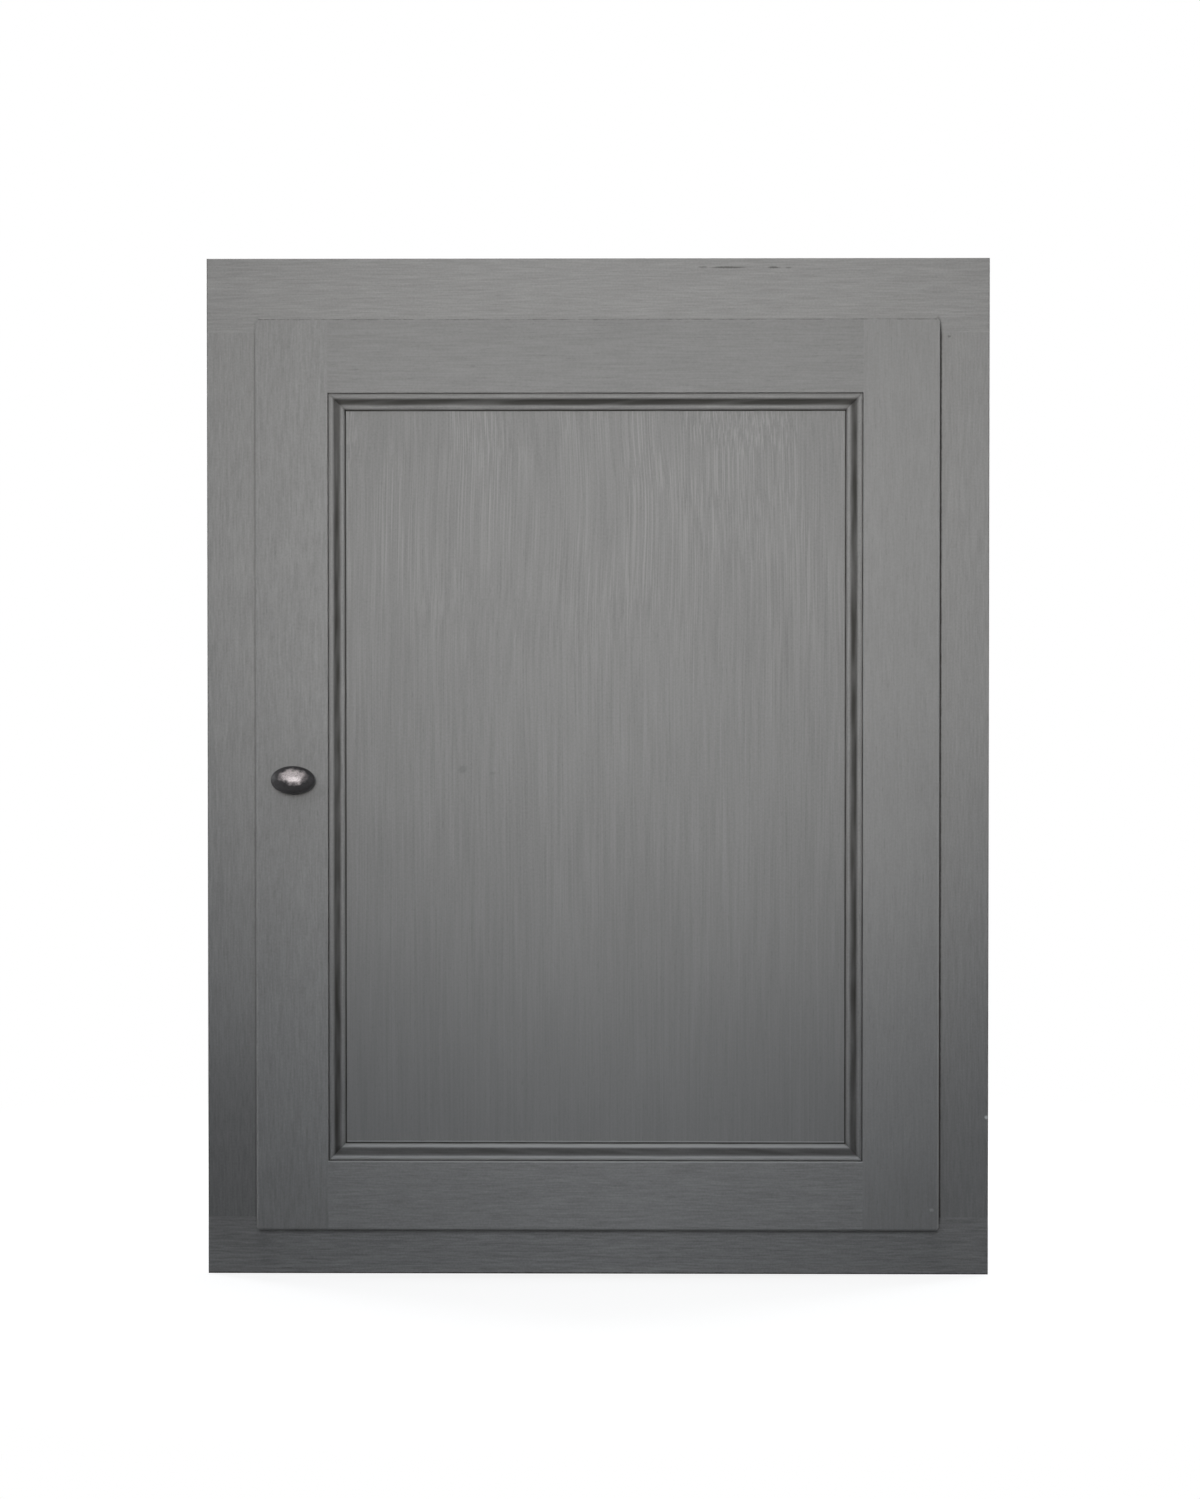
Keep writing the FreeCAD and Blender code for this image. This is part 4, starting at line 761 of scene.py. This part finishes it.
def press_recess(points, row, way, height, share):
    """Sinks the points of a head's ring that lie in the cross."""
    for side, index in enumerate(row):
        turn = 2 * math.pi * side / HEAD_SIDES
        aside = share * min(abs(math.cos(turn)), abs(math.sin(turn)))
        if aside < RECESS_HALF and share < RECESS_REACH:
            points[index] -= way * height * RECESS_DEPTH * (1 - share / RECESS_DEPTH)


def screw(points, cloud):
    """Adds the points of a head with a cross recess, and of its shank, where a screw's solid is, and
    gives their faces."""
    head, way, radius, shank, height, length, sunk = screw_points(cloud)
    across = way.orthogonal().normalized() * radius
    other = way.cross(across)
    rings = []
    for number in range(1, HEAD_RINGS + 1):
        share = number / HEAD_RINGS
        level = height if sunk else height * math.sqrt(1 - HEAD_DOME * share ** 3)
        row = ring(points, head + way * level, across * share, other * share, HEAD_SIDES)
        press_recess(points, row, way, height, share)
        rings.append(row)
    below = length - height
    thin = shank / radius
    body = [(thin, 0.0), (TAPER_WIDTH * thin, TAPER_START * below), (TIP_WIDTH * thin, below)]
    if not sunk:
        body.insert(0, (1.0, 0.0))
    for share, depth in body:
        rings.append(ring(points, head - way * depth, across * share, other * share, HEAD_SIDES))
    return skin(rings)


def make_screws():
    zinc = plated("zinc", SCREW_ZINC, rough=0.30)
    for node, body in SCREW_BODIES.items():
        points, faces = [], []
        for cloud in solids(node):
            faces += screw(points, cloud)
        made = piece(f"{node}_cross_head", points, faces, zinc, body)
        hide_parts(node)


# Knob: an oval head on a turned stem

KNOB_RINGS = 40
KNOB_END = 0.004
HEAD_HALF_WIDTH = 16.8 * MM
HEAD_HALF_TALL = 10.7 * MM
FOOT_RADIUS = 7.0 * MM
FOOT_EDGE = 1.4 * MM
FOOT_HOLLOW = 5.0 * MM
FOOT_STEPS = 10
NECK_RADIUS = 4.4 * MM
NECK_HEIGHT = 5.2 * MM
WEAR_AND_SHEEN_PLACE = Vector((0.4 * MM, 3.0 * MM, 3.0 * MM))
WEAR_AND_SHEEN_REACH = (11.2 * MM, 11.2 * MM, 6.2 * MM)


def make_knob():
    """The head's long axis is level. Its front has a bright patch, partly worn and partly a painted
    reflection, a little above the middle.
    """
    low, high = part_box("knob")
    middle = (low + high) / 2
    foot = [(FOOT_RADIUS, 0.0), (FOOT_RADIUS, FOOT_EDGE)]
    foot += arc(foot[-1], (NECK_RADIUS, NECK_HEIGHT), FOOT_HOLLOW, 1, FOOT_STEPS)
    foot.append((NECK_RADIUS, high.y - low.y - HEAD_HALF_TALL))
    oval = []
    for number in range(KNOB_RINGS + 1):
        turn = math.pi * (KNOB_END + (1 - 2 * KNOB_END) * number / KNOB_RINGS)
        oval.append((HEAD_HALF_TALL * math.sin(turn), -HEAD_HALF_WIDTH * math.cos(turn)))
    seat = Vector((middle.x, high.y, middle.z))
    head = Vector((middle.x, low.y + HEAD_HALF_TALL, middle.z))
    points = []
    faces = turned(points, seat, Vector((0.0, -1.0, 0.0)), foot)
    faces += turned(points, head, Vector((1.0, 0.0, 0.0)), oval)
    patch = Vector((middle.x, low.y, middle.z)) + WEAR_AND_SHEEN_PLACE
    pewter = pewter_worn_and_lit("pewter", patch, WEAR_AND_SHEEN_REACH)
    made = piece("oval_knob", points, faces, pewter, "door")
    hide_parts("knob")


# Felt pads behind the door. The profile is in shares of a pad's radius and thickness.

PAD_PROFILE = [(0.97, 0.0), (1.0, 0.18), (1.0, 0.62), (0.975, 0.80), (0.92, 0.91), (0.84, 0.965),
               (0.70, 0.985), (0.45, 0.995), (0.18, 1.0)]
PAD_FRAY = 0.07
PAD_FIBRES = 900.0


def make_pads():
    """Pressed discs on the door's back, their rims rounded and a little frayed."""
    points, faces = [], []
    for cloud in solids("door_bumpers"):
        low, high = corners(cloud)
        seat = Vector(((low.x + high.x) / 2, low.y, (low.z + high.z) / 2))
        radius, thick = (high.x - low.x) / 2, high.y - low.y
        profile = [(radius * share, thick * rise) for share, rise in PAD_PROFILE]
        first = len(points)
        faces += turned(points, seat, Vector((0.0, 1.0, 0.0)), profile)
        for index in range(first, len(points)):
            fray = PAD_FRAY * (0.5 + 0.5 * noise.noise(points[index] * PAD_FIBRES))
            points[index] = seat + (points[index] - seat) * (1.0 - fray)
    made = piece("felt_pads", points, faces, felt("felt"), "door")
    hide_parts("door_bumpers")


# Nails in the back boards. The profile is in shares of a head's radius and height.

BACK_BOARDS = 5
NAIL_PROFILE = [(1.0, -0.6), (1.0, 0.35), (0.75, 0.85), (0.35, 1.0)]
NAIL_RADIUS = 2.0 * MM
NAIL_PROUD = 0.35 * MM
NAIL_SIDES = 20
NAIL_INSET = 0.24
NAIL_STRAY = 1.6 * MM
NAIL_STRAY_UP = 0.8


def back_row():
    """Where the row of back boards starts on X, and the width of one board."""
    left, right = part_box("back_board_1")[0].x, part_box(f"back_board_{BACK_BOARDS}")[1].x
    return left, (right - left) / BACK_BOARDS


def nail(points, centre):
    """Adds the points of a low domed head, its rim just sunk in the wood, and gives its faces."""
    across, other = Vector((NAIL_RADIUS, 0.0, 0.0)), Vector((0.0, 0.0, NAIL_RADIUS))
    rings = []
    for share, rise in NAIL_PROFILE:
        level = centre + Vector((0.0, rise * NAIL_PROUD, 0.0))
        rings.append(ring(points, level, across * share, other * share, NAIL_SIDES))
    return skin(rings)


def make_nails():
    """Two nails a board into the top board and the floor board, none quite in line."""
    left, width = back_row()
    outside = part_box("back_board_1")[1].y
    points, faces = [], []
    for number in range(BACK_BOARDS):
        for row, node in enumerate(("top_board", "floor_board")):
            low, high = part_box(node)
            for column, share in enumerate((NAIL_INSET, 1.0 - NAIL_INSET)):
                stray = NAIL_STRAY * math.sin(5.0 * number + 3.0 * row + 1.7 * column)
                x = left + (number + share) * width + stray
                z = (low.z + high.z) / 2 + NAIL_STRAY_UP * stray
                faces += nail(points, Vector((x, outside, z)))
    steel = plated("nail_steel", NAIL_STEEL, rough=0.45)
    piece("back_nails", points, faces, steel, "cabinet")


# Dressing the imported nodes

WELD = 0.01 * MM
SHARP = math.radians(40)
HAIRLINE = 0.12 * MM
BOARD_EDGE = 0.8 * MM
CASE_EDGE = 0.4 * MM
METAL_EDGE = 0.2 * MM
THIN_EDGE = 0.15 * MM


def ease(node, width):
    """Rounds a node's sharp edges a little, as sanding and paint do."""
    weld = nodes[node].modifiers.new("weld", "WELD")
    weld.merge_threshold = WELD
    bevel = nodes[node].modifiers.new("ease", "BEVEL")
    bevel.width = width
    bevel.segments = 2
    bevel.limit_method = "ANGLE"
    bevel.angle_limit = SHARP
    bevel.harden_normals = False


def dress(names, material, edge=0.0):
    for name in names:
        nodes[name].data.materials.clear()
        nodes[name].data.materials.append(material)
        if edge:
            ease(name, edge)


# Carcass, painted on the outside only. A pith is where the middle of the tree lies.

PAINT_SKIN = 1.2 * MM
CARCASS_RIBS = 0.10
SIDE_PITH = (0.31, -0.16, 0.0)
TOP_PITH = (0.0, -0.18, 0.82)


def dress_carcass():
    crown = ("Z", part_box("top_board")[1].z - PAINT_SKIN)
    flank = ("X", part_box("side_right")[1].x - PAINT_SKIN)
    side_paint = grey_paint("side_paint", "Z", ribs=CARCASS_RIBS, bare=((flank, crown), "X", SIDE_PITH))
    top_paint = grey_paint("top_paint", "X", ribs=CARCASS_RIBS, bare=((crown,), "Z", TOP_PITH))
    dress(["side_left", "side_right"], side_paint, BOARD_EDGE)
    dress(["top_board"], top_paint, BOARD_EDGE)


# Marks on the front, in millimetres: middle (x, z), half size (across, deep, up), colour, strength

PANEL_MARKS = [
    ((-103.0, 388.8), (4.2, 4.0, 3.6), PAINT_DARK, 0.30),
    ((-80.0, 385.7), (3.0, 4.0, 1.8), PAINT_DARK, 0.22),
    ((37.0, 265.0), (45.0, 10.0, 100.0), GRIME_AND_SHADE, 0.05),
]
LOCK_STILE_MARKS = [
    # Painted shade in the lower corner
    ((-238.0, 45.0), (50.0, 10.0, 55.0), GRIME_AND_SHADE, 0.08),
    # The knob's painted shadow, with a little dirt
    ((-224.0, 373.5), (20.0, 10.0, 12.5), GRIME_AND_SHADE, 0.12),
]
HINGE_STILE_MARKS = [
    # Painted shade in the lower corner
    ((238.0, 45.0), (50.0, 10.0, 55.0), GRIME_AND_SHADE, 0.09),
    ((255.2, 52.8), (2.2, 6.0, 1.6), PAINT_LIGHT, 0.9),
]
RIGHT_STILE_MARKS = [
    ((298.5, 121.2), (1.6, 3.0, 1.8), CHIP_WHITE, 1.0),
    ((269.0, 720.0), (1.6, 3.0, 1.2), PAINT_DARK, 0.7),
]
TOP_RAIL_MARKS = [
    ((80.5, 773.2), (4.5, 3.0, 0.9), GRIME_AND_SHADE, 0.40),
    ((99.5, 772.9), (15.0, 3.0, 0.9), GRIME_AND_SHADE, 0.62),
    ((135.0, 772.9), (5.5, 3.0, 0.9), GRIME_AND_SHADE, 0.62),
    ((146.0, 772.7), (2.8, 3.0, 0.8), GRIME_AND_SHADE, 0.36),
]
BOTTOM_RAIL_MARKS = [
    # Painted shade towards the lower corners, most on the left
    ((-296.0, 20.0), (62.0, 10.0, 62.0), GRIME_AND_SHADE, 0.13),
    ((296.0, 20.0), (62.0, 10.0, 62.0), GRIME_AND_SHADE, 0.07),
    ((-290.0, 44.0), (60.0, 10.0, 26.0), GRIME_AND_SHADE, 0.11),
    ((290.0, 38.0), (60.0, 10.0, 36.0), GRIME_AND_SHADE, 0.05),
]


def marks_on(front, rows):
    """The marks of a table on a face at front, on Y."""
    marks = []
    for (x, z), reach, stain, strength in rows:
        marks.append(Mark((x * MM, front, z * MM), Vector(reach) * MM, stain, strength))
    return marks


def paint_member(node, along, front, **look):
    """Paints a rail or a stile, brushed along its length."""
    dress([node], grey_paint(f"{node}_paint", along, front=front, **look), HAIRLINE)


# Face frame. The door's shadow is painted on it as a dark line along each upright edge: (reach, strength).

HINGE_LINE = (3.3 * MM, 0.90)
LOCK_LINE = (4.0 * MM, 0.30)
DOOR_LINE_DEPTH = 4.0 * MM
DOOR_LINE_FADE = 1.5
# Heights over which the frame's stiles get darker towards the foot, as painted shade
FOOT_SHADING_HEIGHTS = (0.06, 0.25)


def door_shadow_lines_on(rail_edge, door_end):
    """The painted shadow lines beside the door, carried on from the stiles over a rail up to the door's
    corners.
    """
    fade = DOOR_LINE_FADE * abs(door_end - rail_edge)
    marks = []
    for x, (reach, strength) in ((hinge_edge, HINGE_LINE), (lock_edge, LOCK_LINE)):
        size = (reach, DOOR_LINE_DEPTH, fade)
        marks.append(Mark((x, frame_front, rail_edge), size, EDGE_DIRT_AND_SHADE, strength))
    return marks


def dress_frame():
    # Painted shade, with a little dirt, along the frame's outer edges and its foot
    left = Line("X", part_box("frame_stile_left")[0].x, frame_front, 1.1 * MM, 0.40, EDGE_DIRT_AND_SHADE)
    right = Line("X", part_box("frame_stile_right")[1].x, frame_front, 1.1 * MM, 0.30, EDGE_DIRT_AND_SHADE)
    foot = Line("Z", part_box("frame_rail_bottom")[0].z, frame_front, 1.4 * MM, 0.70, EDGE_DIRT_AND_SHADE)
    # The door's painted shadow beside its upright edges
    hinge_line = Line("X", hinge_edge, frame_front, *HINGE_LINE, EDGE_DIRT_AND_SHADE)
    lock_line = Line("X", lock_edge, frame_front, *LOCK_LINE, EDGE_DIRT_AND_SHADE)
    over_door = door_shadow_lines_on(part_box("frame_rail_top")[0].z, hinge_high.z)
    under_door = door_shadow_lines_on(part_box("frame_rail_bottom")[1].z, hinge_low.z)
    paint_member("frame_stile_left", "Z", frame_front, stroke=14 * MM, contrast=0.44, ribs=0.12, tone=1.03,
                 soil=(*FOOT_SHADING_HEIGHTS, 0.76), lines=[left, lock_line])
    paint_member("frame_stile_right", "Z", frame_front, stroke=18 * MM, contrast=0.34, ribs=0.10, tone=1.04,
                 soil=(*FOOT_SHADING_HEIGHTS, 0.90), lines=[right, hinge_line],
                 marks=marks_on(frame_front, RIGHT_STILE_MARKS))
    paint_member("frame_rail_top", "X", frame_front, stroke=22 * MM, contrast=0.42, ribs=0.10, tone=1.085,
                 lines=[left, right], marks=marks_on(frame_front, TOP_RAIL_MARKS) + over_door)
    # Its lighter tone is painted light, against the door's shadow on it
    paint_member("frame_rail_bottom", "X", frame_front, stroke=14 * MM, contrast=0.66, ribs=0.40, tone=1.13,
                 lines=[left, right, foot], marks=marks_on(frame_front, BOTTOM_RAIL_MARKS) + under_door)


# Door

# The door's stiles get lighter towards the foot, as painted light: (low, high, share)
LOCK_FOOT_SHADING = (0.18, 0.42, 1.05)
HINGE_FOOT_SHADING = (0.15, 0.60, 1.05)
FAN_FROM = 0.50
FAN_BELOW_TOP = 0.04


def dress_door():
    opening_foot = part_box("door_rail_bottom")[1].z
    # Painted shade on the door's eased edges
    left = Line("X", lock_edge, door_front, 0.9 * MM, 0.35, EDGE_DIRT_AND_SHADE)
    right = Line("X", hinge_edge, door_front, 0.8 * MM, 0.60, EDGE_DIRT_AND_SHADE)
    top = Line("Z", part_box("door_stile_lock")[1].z, door_front, 1.1 * MM, 0.50, EDGE_DIRT_AND_SHADE)
    # A painted highlight, with a little wear, on the bottom rail's upper arris, which faces up
    rail_arris = Line("Z", opening_foot, door_front, 1.1 * MM, 0.85, PAINT_WEAR_AND_SHEEN)
    paint_member("door_stile_lock", "Z", door_front, stroke=15 * MM, contrast=0.40, ribs=0.10, tone=1.005,
                 soil=LOCK_FOOT_SHADING, lines=[left, top], marks=marks_on(door_front, LOCK_STILE_MARKS))
    paint_member("door_stile_hinge", "Z", door_front, stroke=20 * MM, contrast=0.22, ribs=0.04, tone=1.02,
                 soil=HINGE_FOOT_SHADING, lines=[right, top], marks=marks_on(door_front, HINGE_STILE_MARKS))
    paint_member("door_rail_top", "X", door_front, stroke=30 * MM, contrast=0.30, ribs=0.03, tone=0.952,
                 lines=[top])
    paint_member("door_rail_bottom", "X", door_front, stroke=16 * MM, contrast=0.50, ribs=0.14, tone=1.07,
                 lines=[rail_arris])


def dress_panel():
    """The panel's upper part was brushed out nearly dry, and its foot has a painted highlight along the
    moulding.
    """
    moulding_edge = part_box("door_rail_bottom")[1].z + MOULDING_FOOT
    foot = Line("Z", moulding_edge, panel_low.y, 1.2 * MM, 0.45, PAINT_WEAR_AND_SHEEN)
    fan_low = panel_low.z + FAN_FROM * (panel_high.z - panel_low.z)
    paint = grey_paint("panel_paint", "Z", stroke=75 * MM, contrast=0.40, ribs=0.03, tone=0.935, dry=0.40,
                       fan=(fan_low, panel_high.z - FAN_BELOW_TOP), lines=[foot],
                       marks=marks_on(panel_low.y, PANEL_MARKS))
    dress(["door_panel"], paint)


# Pine boards. A pith is where the middle of the tree lies, on Y and Z for a level board.

BOARD_PITHS = {"floor_board": (-0.17, -0.05), "shelf_lower": (-0.12, 0.21), "shelf_upper": (-0.19, 0.58)}
RAIL_PITHS = {"hanging_rail_upper": (0.03, 0.70), "hanging_rail_lower": (0.03, 0.03)}
BACK_PITH = 45 * MM
BACK_PITH_NEARER = 10 * MM
BACK_PITH_ASIDE = 20 * MM
BACK_TONES = 0.12


def dress_back():
    """Five boards of one row, each from another tree."""
    left, width = back_row()
    for number in range(1, BACK_BOARDS + 1):
        node = f"back_board_{number}"
        near, far = left + (number - 1) * width, left + number * width
        aside = (near + far) / 2 + BACK_PITH_ASIDE * math.sin(number * 2.3)
        behind = BACK_PITH + BACK_PITH_NEARER * math.cos(number * 1.7)
        tone = 1.0 + BACK_TONES * math.sin(number * 4.1)
        dress([node], pine(f"pine_{node}", "Z", "Y", (aside, behind, 0.0), tone, (near, far)))


def dress_boards():
    for node, pith in BOARD_PITHS.items():
        dress([node], pine(f"pine_{node}", "X", "Z", (0.0, *pith)), BOARD_EDGE)
    for node, pith in RAIL_PITHS.items():
        dress([node], pine(f"pine_{node}", "X", "Y", (0.0, *pith)))


def dress_fittings():
    hinges = ["hinge_cup_upper", "hinge_cup_lower", "hinge_arm_upper", "hinge_arm_lower"]
    dress(hinges, plated("nickel", NICKEL, rough=0.24), METAL_EDGE)
    dress(["hinge_pin_upper", "hinge_pin_lower"], plated("pin_steel", PIN_STEEL, rough=0.30))
    dress(["strike_plate"], plated("strike_zinc", STRIKE_ZINC, rough=0.34), METAL_EDGE)
    dress(["catch_pole_plates"], plated("pole_steel", POLE_STEEL, rough=0.38), THIN_EDGE)
    dress(["shelf_pegs"], plated("peg_steel", PEG_STEEL, rough=0.32, along="X"), METAL_EDGE)
    dress(["catch_case"], moulded_plastic("catch_brown"), CASE_EDGE)
    dress(["catch_magnet"], sintered("ferrite"), METAL_EDGE)


# Floor and world: white to the eye, dim to the light that they throw back

WHITE = (1.0, 1.0, 1.0)
FLOOR_HALF = 6.0
FLOOR_GLOW = 0.84
FLOOR_PALE = (0.30, 0.30, 0.30)
FLOOR_DIM = (0.16, 0.165, 0.175)
FLOOR_FADE_START = 0.5
FLOOR_FADE_END = 1.1
SKY_DIM = (0.86, 0.93, 1.0)
SKY_STRENGTH = 0.07


def seen_and_unseen(tree, seen, unseen):
    """One shader for camera, mirror and see-through rays, and another for the rest."""
    path = tree.add("ShaderNodeLightPath").outputs
    share = path["Is Camera Ray"]
    for ray in ("Is Glossy Ray", "Is Transmission Ray"):
        share = tree.add("ShaderNodeMath", share, path[ray], operation="ADD", use_clamp=True).outputs[0]
    return tree.add("ShaderNodeMixShader", share, unseen, seen).outputs[0]


def make_floor():
    """A pale floor that fades to white away from the cupboard and keeps its shadow."""
    tree = Tree("floor_pale")
    tree.nodes.remove(tree.shader)
    glow = tree.add("ShaderNodeEmission", WHITE, FLOOR_GLOW).outputs[0]
    pale = tree.add("ShaderNodeBsdfDiffuse", FLOOR_PALE).outputs[0]
    near = tree.add("ShaderNodeAddShader", glow, pale).outputs[0]
    far = tree.add("ShaderNodeEmission", WHITE, 1.0).outputs[0]
    fade = tree.ramp(tree.vector("LENGTH", tree.place), FLOOR_FADE_START, FLOOR_FADE_END)
    ground = tree.add("ShaderNodeMixShader", fade, near, far).outputs[0]
    dim = tree.add("ShaderNodeBsdfDiffuse", FLOOR_DIM).outputs[0]
    tree.put(tree.nodes["Material Output"].inputs["Surface"], seen_and_unseen(tree, ground, dim))
    mesh = bpy.data.meshes.new("floor")
    around = [(-1, -1), (1, -1), (1, 1), (-1, 1)]
    mesh.from_pydata([(FLOOR_HALF * x, FLOOR_HALF * y, 0.0) for x, y in around], [], [(0, 1, 2, 3)])
    mesh.materials.append(tree.material)
    floor = bpy.data.objects.new("floor", mesh)
    bpy.context.scene.collection.objects.link(floor)


def make_world():
    world = bpy.data.worlds.new("studio")
    bpy.context.scene.world = world
    world.use_nodes = True
    world.node_tree.nodes.clear()
    tree = Nodes(world.node_tree)
    white = tree.add("ShaderNodeBackground", WHITE, 1.0).outputs[0]
    dim = tree.add("ShaderNodeBackground", SKY_DIM, SKY_STRENGTH).outputs[0]
    tree.add("ShaderNodeOutputWorld", seen_and_unseen(tree, white, dim))


# Lamps: soft spots on the front, each with the radius that it lights there, and disks for the rest

WARM = (1.0, 0.985, 0.955)
COOL = (0.93, 0.965, 1.0)
BLUE = (0.875, 0.93, 1.0)
SPOT_THROW = 3.6


def lamp(name, kind, place, target, power, colour, **settings):
    light = bpy.data.lights.new(name, kind)
    light.energy = power
    light.color = colour
    for key, value in settings.items():
        setattr(light, key, value)
    made = bpy.data.objects.new(name, light)
    made.location = place
    made.rotation_euler = (Vector(target) - made.location).to_track_quat("-Z", "Y").to_euler()
    bpy.context.scene.collection.objects.link(made)


def spot(name, place, target, power, colour, radius, softness):
    lamp(name, "SPOT", place, target, power, colour, spot_size=2 * math.atan(radius / SPOT_THROW),
         spot_blend=1.0, shadow_soft_size=softness)


def disk(name, place, target, power, colour, size):
    lamp(name, "AREA", place, target, power, colour, shape="DISK", size=size)


def make_lights():
    spot("front_light", (-0.12, -3.9, 0.65), (0.026, -0.30, 0.718),
         power=252.0, colour=WARM, radius=0.67, softness=0.12)
    spot("front_fill", (-0.10, -3.9, 1.00), (0.008, -0.30, 0.487),
         power=214.0, colour=BLUE, radius=0.77, softness=0.40)
    spot("low_fill", (0.02, -3.9, 0.50), (0.005, -0.30, -0.067),
         power=70.0, colour=BLUE, radius=0.31, softness=0.25)
    disk("overhead_light", (-0.2, -2.3, 3.6), (0.0, -0.3, 0.4), power=10.0, colour=COOL, size=1.4)
    disk("top_light", (0.0, 0.5, 2.6), (0.0, 0.5, 0.0), power=22.0, colour=WARM, size=1.6)
    for side in (-1, 1):
        disk(f"side_light_{side}", (side * 2.3, 1.7, 1.3), (side * 0.3, -0.1, 0.35),
             power=45.0, colour=COOL, size=1.2)
        disk(f"edge_light_{side}", (side * 2.4, -0.31, 0.9), (side * 0.3, -0.31, 0.4),
             power=14.0, colour=COOL, size=0.5)
    disk("back_light", (0.5, 2.8, 1.6), (0.0, 0.0, 0.4), power=34.0, colour=WARM, size=1.4)


# Camera: angles in degrees, lens and sensor in millimetres

CAMERA_PLACE = (0.0442, -3.5, 0.4732)
CAMERA_PITCH = -1.2433
CAMERA_TURN = 0.7603
LENS = 125.1
SENSOR = 36.0


def make_camera():
    camera = bpy.data.cameras.new("camera")
    camera.sensor_fit = "HORIZONTAL"
    camera.sensor_width = SENSOR
    camera.lens = LENS
    made = bpy.data.objects.new("camera", camera)
    made.location = CAMERA_PLACE
    made.rotation_euler = (math.radians(90 + CAMERA_PITCH), 0.0, math.radians(CAMERA_TURN))
    bpy.context.scene.collection.objects.link(made)
    bpy.context.scene.camera = made


dress_carcass()
dress_frame()
dress_door()
dress_panel()
dress_back()
dress_boards()
dress_fittings()
make_mouldings()
make_knob()
make_screws()
make_pads()
make_nails()
make_floor()
make_world()
make_lights()
make_camera()
bpy.context.scene.view_settings.view_transform = "Standard"
